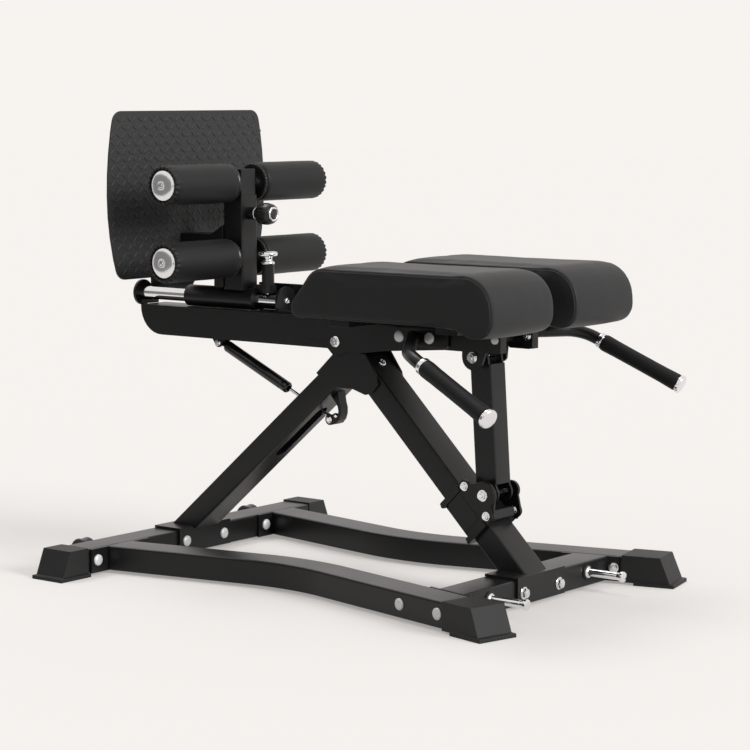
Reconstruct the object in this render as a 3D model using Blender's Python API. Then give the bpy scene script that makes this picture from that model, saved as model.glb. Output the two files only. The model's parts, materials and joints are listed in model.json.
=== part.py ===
"""Back extension machine: a steel base, a tilting beam with thigh pads, and a sliding foot carriage.

Units are metres. +X points to the pads, +Y to the machine's left and +Z up. Heights count
from the floor, and X from a station line near the beam's pivot. The last step moves the
whole machine so that its origin is at the middle of its footprint.
"""

import math

import bmesh
import bpy
from mathutils import Matrix, Vector

# Clearances
SEAT = 0.0003
RUNNING = 0.0004

# Base frame
FLOOR_GAP = 0.006
BASE_HEIGHT = 0.050
TUBE_CORNER = 0.0045
PLATE = 0.005
REAR_BEAM_X = -0.4985
REAR_BEAM_DEPTH = 0.070
REAR_BEAM_LENGTH = 0.790
FRONT_BEAM_X = 0.3625
FRONT_BEAM_DEPTH = 0.075
RAIL_WIDTH = 0.075
RAIL_INSET = 0.2176
RAIL_WAIST = Vector((-0.044, REAR_BEAM_LENGTH / 2 - RAIL_INSET))
RAIL_REAR_ANGLE = math.radians(11.0)
RAIL_FRONT_ANGLE = math.radians(13.5)
RAIL_FRONT_RUN = 0.549
RAIL_BEND_RADIUS = 0.50
RAIL_FLANGE_LENGTH = 0.169
CROSS_FLANGE_LENGTH = 0.122

# Rubber caps on the tube ends
CAP_WALL = 0.003
CAP_UNDER = 0.0015
CAP_SOLE = 0.0085
CAP_SOLE_LIP = 0.0035
CAP_LEAN = 0.026
CAP_NOSE = 0.006
REAR_CAP_LENGTH = 0.051
FRONT_CAP_LENGTH = 0.080
SOLE_SETBACK = 0.026

# Band pegs and transport wheels
PEG_INSET = 0.4588
PEG_SPREAD = REAR_BEAM_LENGTH - PEG_INSET
PEG_HEIGHT = 0.035
PEG_LENGTH = 0.086
PEG_RADIUS = 0.0075
PEG_DISC_RADIUS = 0.0105
WHEEL_RADIUS = 0.026
WHEEL_WIDTH = 0.030
WHEEL_INSET = 0.270
WHEEL_SPREAD = REAR_BEAM_LENGTH - WHEEL_INSET
WHEEL_AXLE_RADIUS = 0.005
WHEEL_REACH = 0.029
WHEEL_HEIGHT = 0.0305

# Struts, gussets and the strut feet
STRUT_WIDTH = 0.075
STRUT_DEPTH = 0.048
REAR_STRUT_FOOT_X = -0.4890
REAR_STRUT_ANGLE = math.radians(40.8)
FRONT_STRUT_FOOT_X = 0.3636
FRONT_STRUT_ANGLE = math.radians(45.1)
STRUT_RISE = 0.399
SADDLE_LENGTH = 0.160
SLOT_WIDTH = 0.030
SLOT_START = 0.288
SLOT_END = 0.456
GUSSET_THICKNESS = 0.005

# Beam
PIVOT = Vector((-0.0625, 0.0, 0.479))
PIVOT_LOBE = 0.026
PIVOT_BOLT_RADIUS = 0.006
BEAM_WIDTH = 0.075
BEAM_REAR_X = -0.604
BEAM_FRONT_X = 0.244
BEAM_TOP_Z = 0.5255
BEAM_BOTTOM_Z = 0.463
BEAM_NOSE_RISE = 0.015
SIDE_PLATE = 0.005
SIDE_PLATE_REAR_X = -0.157
SIDE_PLATE_END_X = 0.2136
SIDE_PLATE_TOP_Z = BEAM_TOP_Z - 0.006
CHEEK_REAR_X = 0.222
CHEEK_SHELF_Z = 0.480
CHEEK_FRONT_X = 0.306
CHEEK_BOTTOM_Z = 0.482
LINK_TOP = Vector((0.2745, 0.0, 0.4695))
LINK_FOOT = Vector((0.3010, 0.0, 0.2050))

# Link
LINK_SIZE = 0.050
LINK_EYE_RADIUS = 0.0185
LINK_EAR = 0.005
LINK_BOLT_RADIUS = 0.005
LINK_BAR_END = Vector((0.2905, 0.0, 0.2225))
EAR_RADII = {"left": 0.0165, "right": 0.0252}
OPEN_PIVOT_GAP = 0.0055

# Carriage on the front strut
CARRIAGE_LENGTH = 0.097
CARRIAGE_WALL = 0.0055
CHEEK_THICKNESS = 0.005
CARRIAGE_BOSSES = {"left": 0.0190, "right": 0.0275}
COLLAR_STEP = 0.0015
COLLAR_WIDTH = 0.008
BOLT_LOBE = 0.0135
RELEASE_RADIUS = 0.0085
CARRIAGE_DROP = -0.0035
RELEASE_OFFSET = 0.040
RELEASE_DEPTH = 0.0395
RELEASE_STUD = 0.004
RELEASE_TRAVEL = 0.008

# Gas spring
SPRING_TOP = Vector((-0.4074, 0.0, 0.4528))
SPRING_FOOT = Vector((-0.108, 0.0, 0.3144))
SPRING_RADIUS = 0.012
SPRING_BORE = 0.0065
SPRING_BODY = 0.2008
SPRING_BORE_DEPTH = 0.130
ROD_RADIUS = 0.004
ROD_LENGTH = 0.165
EYE_RADIUS = 0.009
EYE_WIDTH = 0.015
SPRING_BOLT_RADIUS = 0.004
EAR_THICKNESS = 0.004
HOOK_EAR_RADIUS = 0.0115

# Pads
PAD_INNER_Y = 0.037
PAD_OUTER_Y = 0.240
PAD_BASE_Z = 0.544
PAD_TOP_Z = 0.642
PAD_REAR_X = -0.0245
PAD_CROWN = 0.0025
PAD_FRONT_X = 0.4545
PAD_FLAT_X = 0.347
PAD_NOSE_Z = 0.5255
PAD_NOSE_RADIUS = 0.066
PAD_BRACKET_LENGTH = 0.380
PAD_BRACKET_WIDTH = 0.050
PAD_BRACKET_REAR_X = 0.060
PAD_BRACKET_FRONT_X = 0.316
HANGER_FRONT_X = 0.342
HANGER_DROP_Z = 0.480
HANGER_THICKNESS = 0.0035
HANGER_FLANGE = 0.020
LEFT_HANGER_Y = 0.055

# Handles
HANDLE_RADIUS = 0.0125
HANDLE_ROOT_X = 0.130
HANDLE_ROOT_Z = 0.4985
HANDLE_CORNER = Vector((0.3018, 0.2889, 0.4985))
HANDLE_BEND_RADIUS = 0.075
GRIP_END = Vector((0.505, 0.3270, 0.4020))
GRIP_LENGTH = 0.180
GRIP_RADIUS = 0.0172
GRIP_CAP_RADIUS = 0.0187
GRIP_CAP_LENGTH = 0.010
HANDLE_PLATE_LENGTH = 0.142
HANDLE_PLATE_HEIGHT = 0.034

# Slide rail on the beam
RAIL_RADIUS = 0.0138
RAIL_AXIS_Z = 0.547
RAIL_REAR_X = -0.636
RAIL_FRONT_X = -0.229
RAIL_PLATE = 0.006
RAIL_REAR_DISC = 0.0275
RAIL_FRONT_DISC = 0.031
RAIL_GROOVE_WIDTH = 0.011
RAIL_SOCKET = 0.003
RAIL_FIN_Y = 0.0300
RAIL_FIN = 0.004
RAIL_FIN_REAR_X = -0.330
RAIL_FIN_TOP_Z = 0.581
REAR_FIN_Y = 0.0255
REAR_FIN_FRONT_X = -0.5186
REAR_FIN_BOTTOM_Z = 0.545
REAR_FIN_TOP_Z = 0.582

# Foot carriage
SLEEVE_REAR_X = -0.494
SLEEVE_FRONT_X = -0.3055
SLEEVE_RADIUS = 0.0232
SLEEVE_FLANGE_RADIUS = 0.0258
POST_X = -0.354
POST_SIZE = 0.050
POST_WALL = 0.0022
POST_TOP_Z = 0.7627
POST_FLOOR_Z = 0.600
LUG_FRONT_X = -0.262
LUG_WIDTH = 0.012
LUG_BOTTOM_Z = 0.5625
LUG_THICKNESS = 0.016
PIN_X = -0.2795
PIN_RADIUS = 0.0045
PIN_TIP_Z = 0.548
PIN_HOUSING_RADIUS = 0.013
PIN_HOUSING_TOP_Z = 0.622
PIN_HEAD_RADIUS = 0.0205
PIN_TOP_Z = 0.649
FOOT_TRAVEL_BACK = 0.092
FOOT_TRAVEL_FORWARD = 0.020

# Foot plate, height tube and knob
FOOT_PLATE_X = -0.4975
FOOT_PLATE_THICKNESS = 0.004
FOOT_PLATE_BOTTOM_Z = 0.591
FOOT_PLATE_TOP_Z = 0.9355
FOOT_PLATE_WAIST_Y = 0.2435
FOOT_PLATE_TOP_Y = 0.2225
FOOT_PLATE_BOTTOM_Y = 0.2145
FOOT_PLATE_CORNER = 0.026
ARM_WIDTH = 0.055
ARM_BOTTOM_Z = 0.620
ARM_TOP_Z = 0.680
ARM_STEP_Z = 0.7005
ARM_STEP = 0.0335
ARM_FOOT = 0.025
HEIGHT_TUBE_BOTTOM_Z = 0.655
HEIGHT_TUBE_TOP_Z = 0.8161
KNOB_Z = 0.7252
KNOB_BUSH_LENGTH = 0.017
KNOB_BUSH_RADIUS = 0.013
KNOB_RADIUS = 0.0225
KNOB_LENGTH = 0.050
PLUNGER_RADIUS = 0.004

# Foam rollers
ROLLER_RADIUS = 0.0405
ROLLER_INNER_Y = 0.0385
ROLLER_LENGTH = 0.198
ROLLER_SHOULDER = 0.007
AXLE_RADIUS = 0.006
AXLE_CAP_RADIUS = 0.0342
AXLE_CAP_LENGTH = 0.006
LOWER_AXLE_Z = 0.633
UPPER_AXLE_Z = 0.788

# Fasteners
BOLT_HEAD_RATIO = 1.9
BOLT_HEAD_HEIGHT = 0.0045

ROUND_STEPS = 20
ARC_STEPS = 5
SIDES = (("left", 1), ("right", -1))

BASE_TOP_Z = FLOOR_GAP + BASE_HEIGHT
REAR_BEAM_FRONT_X = REAR_BEAM_X + REAR_BEAM_DEPTH / 2
FRONT_BEAM_FRONT_X = FRONT_BEAM_X + FRONT_BEAM_DEPTH / 2
RAIL_START_X = REAR_BEAM_FRONT_X + SEAT
RAIL_TURN = RAIL_REAR_ANGLE + RAIL_FRONT_ANGLE
STRUT_BASE_Z = BASE_TOP_Z + SEAT
REAR_STRUT_DIRECTION = Vector((math.cos(REAR_STRUT_ANGLE), 0, math.sin(REAR_STRUT_ANGLE)))
FRONT_STRUT_DIRECTION = Vector((-math.cos(FRONT_STRUT_ANGLE), 0, math.sin(FRONT_STRUT_ANGLE)))
REAR_STRUT_FOOT = Vector((REAR_STRUT_FOOT_X, 0, STRUT_BASE_Z))
FRONT_STRUT_FOOT = Vector((FRONT_STRUT_FOOT_X, 0, STRUT_BASE_Z))
GUSSET_INNER_Y = STRUT_WIDTH / 2 + SEAT
GUSSET_OUTER_Y = GUSSET_INNER_Y + GUSSET_THICKNESS
SIDE_PLATE_INNER_Y = GUSSET_OUTER_Y + RUNNING
SIDE_PLATE_OUTER_Y = SIDE_PLATE_INNER_Y + SIDE_PLATE
CARRIAGE_INNER_Y = STRUT_WIDTH / 2 + RUNNING
CARRIAGE_OUTER_Y = CARRIAGE_INNER_Y + CARRIAGE_WALL
POST_FRONT_X = POST_X + POST_SIZE / 2
POST_BACK_X = POST_X - POST_SIZE / 2
AXLE_END_Y = ROLLER_INNER_Y + ROLLER_LENGTH + SEAT
ALONG_Y = Vector((0, 1, 0))
ALONG_X = Vector((1, 0, 0))
ALONG_Z = Vector((0, 0, 1))


def clear_scene():
    """Remove what the file holds, so that only the machine is left."""
    for old in list(bpy.data.objects):
        bpy.data.objects.remove(old)


def make_material(name, colour, roughness, metallic=0.0):
    """Give a plain Principled finish."""
    material = bpy.data.materials.new(name)
    material.use_nodes = True
    shader = material.node_tree.nodes["Principled BSDF"]
    shader.inputs["Base Color"].default_value = (*colour, 1.0)
    shader.inputs["Roughness"].default_value = roughness
    shader.inputs["Metallic"].default_value = metallic
    return material


def closed_mesh(rings, loop=False):
    """Skin a row of rings of points; a ring of one point closes to a tip."""
    mesh = bmesh.new()
    rows = [[mesh.verts.new(point) for point in ring] for ring in rings]
    pairs = list(zip(rows, rows[1:] + rows[:1] if loop else rows[1:]))
    for first, second in pairs:
        count = max(len(first), len(second))
        for index in range(count):
            after = (index + 1) % count
            corners = [first[index % len(first)], first[after % len(first)],
                       second[after % len(second)], second[index % len(second)]]
            mesh.faces.new(list(dict.fromkeys(corners)))
    if not loop:
        for end in (rows[0], rows[-1]):
            if len(end) > 2:
                mesh.faces.new(end)
    bmesh.ops.recalc_face_normals(mesh, faces=mesh.faces)
    return mesh


def prism(outline, axis, low, high):
    """Extrude an outline along X, Y or Z between two places."""
    place = {
        "X": lambda a, b, t: Vector((t, a, b)),
        "Y": lambda a, b, t: Vector((a, t, b)),
        "Z": lambda a, b, t: Vector((a, b, t)),
    }[axis]
    return closed_mesh([[place(point[0], point[1], t) for point in outline] for t in (low, high)])


def block(low, high):
    """A box between two corners."""
    outline = [(low[0], low[1]), (high[0], low[1]), (high[0], high[1]), (low[0], high[1])]
    return prism(outline, "Z", low[2], high[2])


def rounded(corners, radius, steps=ARC_STEPS):
    """Round an outline's corners. A radius may be one value or one for each corner."""
    radii = radius if isinstance(radius, (list, tuple)) else [radius] * len(corners)
    points = []
    for index, corner in enumerate(corners):
        here = Vector(corner[:2])
        before = (Vector(corners[index - 1][:2]) - here).normalized()
        after = (Vector(corners[(index + 1) % len(corners)][:2]) - here).normalized()
        half = before.angle(after) / 2
        if radii[index] <= 0 or half > math.radians(89):
            points.append(here)
            continue
        centre = here + (before + after).normalized() * radii[index] / math.sin(half)
        start = here + before * radii[index] / math.tan(half) - centre
        end = here + after * radii[index] / math.tan(half) - centre
        turn = start.angle_signed(end)
        for step in range(steps + 1):
            points.append(centre + Matrix.Rotation(-turn * step / steps, 2) @ start)
    return points


def arc(centre, radius, start, end, steps=ARC_STEPS * 2):
    """Points along an arc, in degrees from the first axis towards the second."""
    turns = [math.radians(start + (end - start) * step / steps) for step in range(steps + 1)]
    return [Vector((centre[0] + radius * math.cos(a), centre[1] + radius * math.sin(a)))
            for a in turns]


def box_section(width, height, corner=TUBE_CORNER):
    """Cross-section of a rectangular tube, around its own centre."""
    a, b = width / 2, height / 2
    return rounded([(-a, -b), (a, -b), (a, b), (-a, b)], corner, 2)


def round_section(radius, steps=ROUND_STEPS):
    """Cross-section of a round bar."""
    return [Vector((radius * math.cos(2 * math.pi * i / steps),
                    radius * math.sin(2 * math.pi * i / steps))) for i in range(steps)]


def sweep(section, centres, sideways=ALONG_Y):
    """Carry a section along a row of points; its first axis stays near `sideways`."""
    rings = []
    for index, centre in enumerate(centres):
        before = centres[max(index - 1, 0)]
        after = centres[min(index + 1, len(centres) - 1)]
        forward = (after - before).normalized()
        across = (sideways - forward * sideways.dot(forward)).normalized()
        upward = forward.cross(across)
        stretch = 1.0
        if 0 < index < len(centres) - 1:
            stretch = 1 / math.cos((centre - before).angle(after - centre) / 2)
        in_plane = (after - centre).normalized() - (centre - before).normalized()
        flat = abs(in_plane.dot(across)) >= abs(in_plane.dot(upward))
        a_scale, b_scale = (stretch, 1.0) if flat else (1.0, stretch)
        rings.append([centre + across * point[0] * a_scale + upward * point[1] * b_scale
                      for point in section])
    return closed_mesh(rings)


def turned(profile, origin, axis, loop=False, steps=ROUND_STEPS):
    """Turn a profile of (radius, distance along the axis) round an axis."""
    across = axis.orthogonal().normalized()
    upward = axis.cross(across)
    rings = []
    for radius, along in profile:
        centre = origin + axis * along
        if radius == 0:
            rings.append([centre])
            continue
        rings.append([centre + across * point[0] + upward * point[1]
                      for point in round_section(radius, steps)])
    return closed_mesh(rings, loop)


def rod(radius, start, end, steps=ROUND_STEPS):
    """A plain round bar between two points."""
    axis = (end - start).normalized()
    return turned([(radius, 0), (radius, (end - start).length)], start, axis, steps=steps)


def trim(mesh, point, normal):
    """Cut away what lies past a plane and close the cut."""
    cut = bmesh.ops.bisect_plane(mesh, geom=mesh.verts[:] + mesh.edges[:] + mesh.faces[:],
                                 plane_co=point, plane_no=normal, clear_outer=True)
    edges = [piece for piece in cut["geom_cut"] if isinstance(piece, bmesh.types.BMEdge)]
    bmesh.ops.contextual_create(mesh, geom=edges)
    bmesh.ops.recalc_face_normals(mesh, faces=mesh.faces)
    return mesh


def put(name, mesh, material, parent, origin):
    """Make an object whose origin is at a place of the machine, under its parent."""
    bmesh.ops.translate(mesh, verts=mesh.verts, vec=-origin)
    data = bpy.data.meshes.new(name)
    mesh.to_mesh(data)
    mesh.free()
    data.shade_smooth()
    data.set_sharp_from_angle(angle=math.radians(32))
    if material:
        data.materials.append(material)
    made = bpy.data.objects.new(name, data)
    bpy.context.scene.collection.objects.link(made)
    made.parent = parent
    made.location = origin - Vector(parent["station"])
    return made


def solid(name, shapes, material, parent, cuts=(), origin=None):
    """One piece: its shapes joined, and its cuts taken out."""
    origin = Vector(parent["station"]) if origin is None else origin
    piece = put(name, shapes[0], material, parent, origin)
    helpers = [("UNION", shape) for shape in shapes[1:]]
    helpers += [("DIFFERENCE", shape) for shape in cuts]
    for number, (operation, shape) in enumerate(helpers):
        helper = put(f"{name}.helper{number}", shape, None, parent, origin)
        helper.hide_render = True
        helper.display_type = "WIRE"
        modifier = piece.modifiers.new(f"{operation.title()}{number}", "BOOLEAN")
        modifier.operation = operation
        modifier.solver = "EXACT"
        modifier.object = helper
    return piece


def axis_empty(name, station, parent=None):
    """An empty on a joint's axis, or at the machine's station line."""
    empty = bpy.data.objects.new(name, None)
    empty.empty_display_size = 0.03
    empty["station"] = list(station)
    bpy.context.scene.collection.objects.link(empty)
    if parent:
        empty.parent = parent
        empty.location = Vector(station) - Vector(parent["station"])
    return empty


def bolt(name, centre, reach, radius, material, parent, origin=None):
    """A bolt across the machine: a shaft with a domed head at each end."""
    head = radius * BOLT_HEAD_RATIO
    crown = reach + BOLT_HEAD_HEIGHT
    profile = [(0, -crown), (head * 0.55, -crown), (head, -reach - BOLT_HEAD_HEIGHT * 0.35),
               (head, -reach), (radius, -reach), (radius, reach), (head, reach),
               (head, reach + BOLT_HEAD_HEIGHT * 0.35), (head * 0.55, crown), (0, crown)]
    return solid(name, [turned(profile, centre, ALONG_Y, steps=16)], material, parent, origin=origin)


# Base frame

def rail_heading(angle):
    """Unit vector along the left rail, in plan, where it heads by this angle."""
    return Vector((math.cos(angle), math.sin(angle)))


def rail_side(offset):
    """Plan of a line beside the left rail's centre line, offset outwards."""
    rear = rail_heading(-RAIL_REAR_ANGLE)
    front = rail_heading(RAIL_FRONT_ANGLE)
    rear_out = Vector((-rear.y, rear.x))
    front_out = Vector((-front.y, front.x))
    bisector = (rear_out + front_out).normalized()
    centre = RAIL_WAIST + bisector * RAIL_BEND_RADIUS / math.cos(RAIL_TURN / 2)
    radius = RAIL_BEND_RADIUS - offset
    start = RAIL_WAIST + rear_out * offset
    start += rear * (RAIL_START_X - start.x) / rear.x
    bend = [centre + radius * Vector((math.sin(a), -math.cos(a)))
            for a in (-RAIL_REAR_ANGLE + RAIL_TURN * i / 8 for i in range(9))]
    end = RAIL_WAIST + front * RAIL_FRONT_RUN + front_out * offset
    return [start] + bend + [end]


def side_rail(side, sign, steel, machine):
    """The splayed rail, with the plate that bolts it to the rear beam."""
    centre = [Vector((p.x, sign * p.y, FLOOR_GAP + BASE_HEIGHT / 2)) for p in rail_side(0)]
    centre[0].x += SEAT
    tube = sweep(box_section(RAIL_WIDTH, BASE_HEIGHT), centre)
    trim(tube, Vector((RAIL_START_X, 0, 0)), -ALONG_X)
    middle_y = sign * rail_side(0)[0].y
    half = RAIL_FLANGE_LENGTH / 2
    flange = block((RAIL_START_X, middle_y - half, FLOOR_GAP + SEAT),
                   (RAIL_START_X + PLATE, middle_y + half, BASE_TOP_Z - SEAT))
    solid(f"{side}_side_rail", [tube, flange], steel, machine)


def cross_beams(steel, machine):
    """The rear beam runs out to its caps; the front beam ends in plates inside the rails."""
    middle_z = FLOOR_GAP + BASE_HEIGHT / 2
    ends = [Vector((REAR_BEAM_X, s * REAR_BEAM_LENGTH / 2, middle_z)) for s in (-1, 1)]
    rear = sweep(box_section(REAR_BEAM_DEPTH, BASE_HEIGHT), ends, ALONG_X)
    solid("rear_cross_beam", [rear], steel, machine)
    heading = rail_heading(RAIL_FRONT_ANGLE)
    inward = Vector((heading.y, -heading.x))
    face = RAIL_WAIST + inward * (RAIL_WIDTH / 2 + SEAT)
    face += heading * (FRONT_BEAM_X - face.x) / heading.x
    reach = face.y
    tube = sweep(box_section(FRONT_BEAM_DEPTH, BASE_HEIGHT),
                 [Vector((FRONT_BEAM_X, s * (reach + RAIL_WIDTH), middle_z)) for s in (-1, 1)],
                 ALONG_X)
    plates = []
    for sign in (-1, 1):
        outward = Vector((-heading.y, sign * heading.x, 0))
        trim(tube, Vector((FRONT_BEAM_X, sign * (reach - PLATE / 2), 0)), outward)
        a = face - heading * CROSS_FLANGE_LENGTH / 2
        b = face + heading * CROSS_FLANGE_LENGTH / 2
        outline = [(p.x, sign * p.y) for p in (a, b, b + inward * PLATE, a + inward * PLATE)]
        plates.append(prism(outline, "Z", FLOOR_GAP + SEAT, BASE_TOP_Z - SEAT))
    solid("front_cross_beam", [tube] + plates, steel, machine)


def foot_cap(name, end, heading, tube_width, length, rubber, machine):
    """A rubber cap: square inside, leaning out to a wide sole."""
    half = tube_width / 2 + CAP_WALL
    top = BASE_TOP_Z + CAP_WALL
    front = CAP_NOSE
    back = front - length
    sole_back = back + SOLE_SETBACK if length > 3 * SOLE_SETBACK else back - CAP_SOLE_LIP
    lean_at_sole = CAP_LEAN * (top - CAP_SOLE) / top
    levels = [
        (sole_back, front + CAP_LEAN + CAP_SOLE_LIP, half + CAP_SOLE_LIP, 0.0),
        (sole_back, front + CAP_LEAN + CAP_SOLE_LIP, half + CAP_SOLE_LIP, CAP_SOLE * 0.85),
        (sole_back + CAP_SOLE_LIP, front + lean_at_sole, half, CAP_SOLE),
    ]
    sole = closed_mesh([[Vector((a, -w, z)), Vector((b, -w, z)), Vector((b, w, z)),
                         Vector((a, w, z))] for a, b, w, z in levels])
    side = [(back, FLOOR_GAP - CAP_UNDER), (front + lean_at_sole, FLOOR_GAP - CAP_UNDER),
            (front, top), (back, top)]
    body = prism(side, "Y", -half, half)
    pocket = sweep(box_section(tube_width + 2 * SEAT, BASE_HEIGHT + 2 * SEAT),
                   [Vector((back - 0.05, 0, FLOOR_GAP + BASE_HEIGHT / 2)),
                    Vector((SEAT, 0, FLOOR_GAP + BASE_HEIGHT / 2))])
    turn = Matrix.Rotation(math.atan2(heading.y, heading.x), 4, "Z")
    move = Matrix.Translation((end.x, end.y, 0)) @ turn
    for mesh in (sole, body, pocket):
        bmesh.ops.transform(mesh, matrix=move, verts=mesh.verts)
    solid(name, [body, sole], rubber, machine, cuts=[pocket])


def foot_caps(rubber, machine):
    """Four caps: two on the rear beam, two on the rails' front ends."""
    front_heading = rail_heading(RAIL_FRONT_ANGLE)
    rail_end = RAIL_WAIST + front_heading * RAIL_FRONT_RUN
    for side, sign in SIDES:
        foot_cap(f"rear_{side}_foot", Vector((REAR_BEAM_X, sign * REAR_BEAM_LENGTH / 2)),
                 Vector((0, sign)), REAR_BEAM_DEPTH, REAR_CAP_LENGTH, rubber, machine)
        foot_cap(f"front_{side}_foot", Vector((rail_end.x, sign * rail_end.y)),
                 Vector((front_heading.x, sign * front_heading.y)), RAIL_WIDTH,
                 FRONT_CAP_LENGTH, rubber, machine)


def band_pegs(chrome, machine):
    """Two chrome pegs on the front beam, each with a collar and an end disc."""
    profile = [(0, 0), (0.012, 0), (0.012, 0.004), (PEG_RADIUS, 0.006),
               (PEG_RADIUS, PEG_LENGTH - 0.007), (PEG_DISC_RADIUS, PEG_LENGTH - 0.006),
               (PEG_DISC_RADIUS, PEG_LENGTH - 0.001), (PEG_DISC_RADIUS - 0.001, PEG_LENGTH),
               (0, PEG_LENGTH)]
    for side, sign in SIDES:
        root = Vector((FRONT_BEAM_FRONT_X + SEAT, sign * PEG_SPREAD / 2, PEG_HEIGHT))
        solid(f"{side}_band_peg", [turned(profile, root, ALONG_X, steps=16)], chrome, machine)


def transport_wheels(steel, plastic, machine):
    """Two small wheels behind the rear beam, each in a bracket with its axle."""
    wall_x = REAR_BEAM_X - REAR_BEAM_DEPTH / 2 - SEAT
    axle_x = wall_x - WHEEL_REACH
    for side, sign in SIDES:
        middle = Vector((axle_x, sign * WHEEL_SPREAD / 2, WHEEL_HEIGHT))
        inner = WHEEL_WIDTH / 2 + 0.0015
        outer = inner + EAR_THICKNESS
        ear = rounded([(axle_x - 0.012, WHEEL_HEIGHT - 0.012), (wall_x, WHEEL_HEIGHT - 0.014),
                       (wall_x, WHEEL_HEIGHT + 0.014), (axle_x - 0.012, WHEEL_HEIGHT + 0.012)],
                      [0.009, 0, 0, 0.009])
        ears = [prism(ear, "Y", middle.y + a, middle.y + b)
                for a, b in ((-outer, -inner), (inner, outer))]
        web = block((wall_x - 0.0022, middle.y - outer + 0.001, WHEEL_HEIGHT - 0.014),
                    (wall_x, middle.y + outer - 0.001, WHEEL_HEIGHT + 0.014))
        axle = rod(WHEEL_AXLE_RADIUS, middle - ALONG_Y * (outer + 0.003),
                   middle + ALONG_Y * (outer + 0.003), 16)
        solid(f"{side}_wheel_bracket", [web] + ears + [axle], steel, machine)
        bore = WHEEL_AXLE_RADIUS + RUNNING
        half = WHEEL_WIDTH / 2
        tread = [(bore, -half), (WHEEL_RADIUS - 0.003, -half), (WHEEL_RADIUS, -half + 0.003),
                 (WHEEL_RADIUS, half - 0.003), (WHEEL_RADIUS - 0.003, half), (bore, half)]
        solid(f"{side}_transport_wheel", [turned(tread, middle, ALONG_Y, loop=True)],
              plastic, machine, origin=middle)


# Struts

def saddle(beam_x, beam_depth):
    """A foot plate on a cross beam's top, folded down over its front face."""
    face_x = beam_x + beam_depth / 2 + SEAT
    half = SADDLE_LENGTH / 2
    top = block((beam_x - beam_depth / 2 + 0.003, -half, STRUT_BASE_Z),
                (face_x + PLATE, half, STRUT_BASE_Z + PLATE))
    drop = block((face_x, -half, FLOOR_GAP + 0.002), (face_x + PLATE, half, STRUT_BASE_Z + 0.001))
    return [top, drop]


def struts(steel, machine):
    """Two struts meet in a peak; the rear one has a slot that the gas spring runs through."""
    reach = 0.80
    front_line = [FRONT_STRUT_FOOT - FRONT_STRUT_DIRECTION * 0.1,
                  FRONT_STRUT_FOOT + FRONT_STRUT_DIRECTION * reach]
    front = sweep(box_section(STRUT_WIDTH, STRUT_DEPTH), front_line)
    trim(front, Vector((0, 0, STRUT_BASE_Z + 0.001)), -ALONG_Z)
    trim(front, Vector((0, 0, BASE_TOP_Z + STRUT_RISE)), ALONG_Z)
    solid("front_strut", [front] + saddle(FRONT_BEAM_X, FRONT_BEAM_DEPTH), steel, machine)

    rear_line = [REAR_STRUT_FOOT - REAR_STRUT_DIRECTION * 0.1,
                 REAR_STRUT_FOOT + REAR_STRUT_DIRECTION * reach]
    rear = sweep(box_section(STRUT_WIDTH, STRUT_DEPTH), rear_line)
    trim(rear, Vector((0, 0, STRUT_BASE_Z + 0.001)), -ALONG_Z)
    back = ALONG_Y.cross(FRONT_STRUT_DIRECTION)
    back = back if back.x < 0 else -back
    trim(rear, FRONT_STRUT_FOOT + back * (STRUT_DEPTH / 2 + SEAT), -back)
    slot = sweep(box_section(SLOT_WIDTH, SLOT_END - SLOT_START, SLOT_WIDTH * 0.45),
                 [strut_slot_centre() + offset * strut_normal() for offset in (-0.06, 0.06)])
    solid("rear_strut", [rear] + saddle(REAR_BEAM_X, REAR_BEAM_DEPTH), steel, machine,
          cuts=[slot])


def strut_normal():
    """Unit vector square to the rear strut's upper face."""
    return Vector((-REAR_STRUT_DIRECTION.z, 0, REAR_STRUT_DIRECTION.x))


def strut_slot_centre():
    """Middle of the rear strut's slot, on the strut's centre line."""
    return REAR_STRUT_FOOT + REAR_STRUT_DIRECTION * (SLOT_START + SLOT_END) / 2


def gussets(steel, machine):
    """Two plates join the struts and rise beside the beam to carry its pivot."""
    lobe = arc((PIVOT.x, PIVOT.z), PIVOT_LOBE, 35, 245)
    outline = [(-0.117, 0.412), (-0.108, 0.404), (-0.060, 0.386), (-0.0245, 0.386)]
    outline += arc((0.0084, 0.3906), 0.014, 245, 300, 4)
    outline += [(0.026, 0.382), (0.041, 0.399), (0.036, 0.4185), (0.0085, 0.4575)]
    outline += [(-0.030, 0.464)] + lobe + [(-0.0745, 0.4521)]
    hole = rod(PIVOT_BOLT_RADIUS + RUNNING, PIVOT - ALONG_Y * 0.1, PIVOT + ALONG_Y * 0.1)
    for side, sign in SIDES:
        low, high = sorted((sign * GUSSET_INNER_Y, sign * GUSSET_OUTER_Y))
        solid(f"{side}_gusset", [prism(outline, "Y", low, high)], steel, machine,
              cuts=[hole.copy()])
    hole.free()


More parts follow.
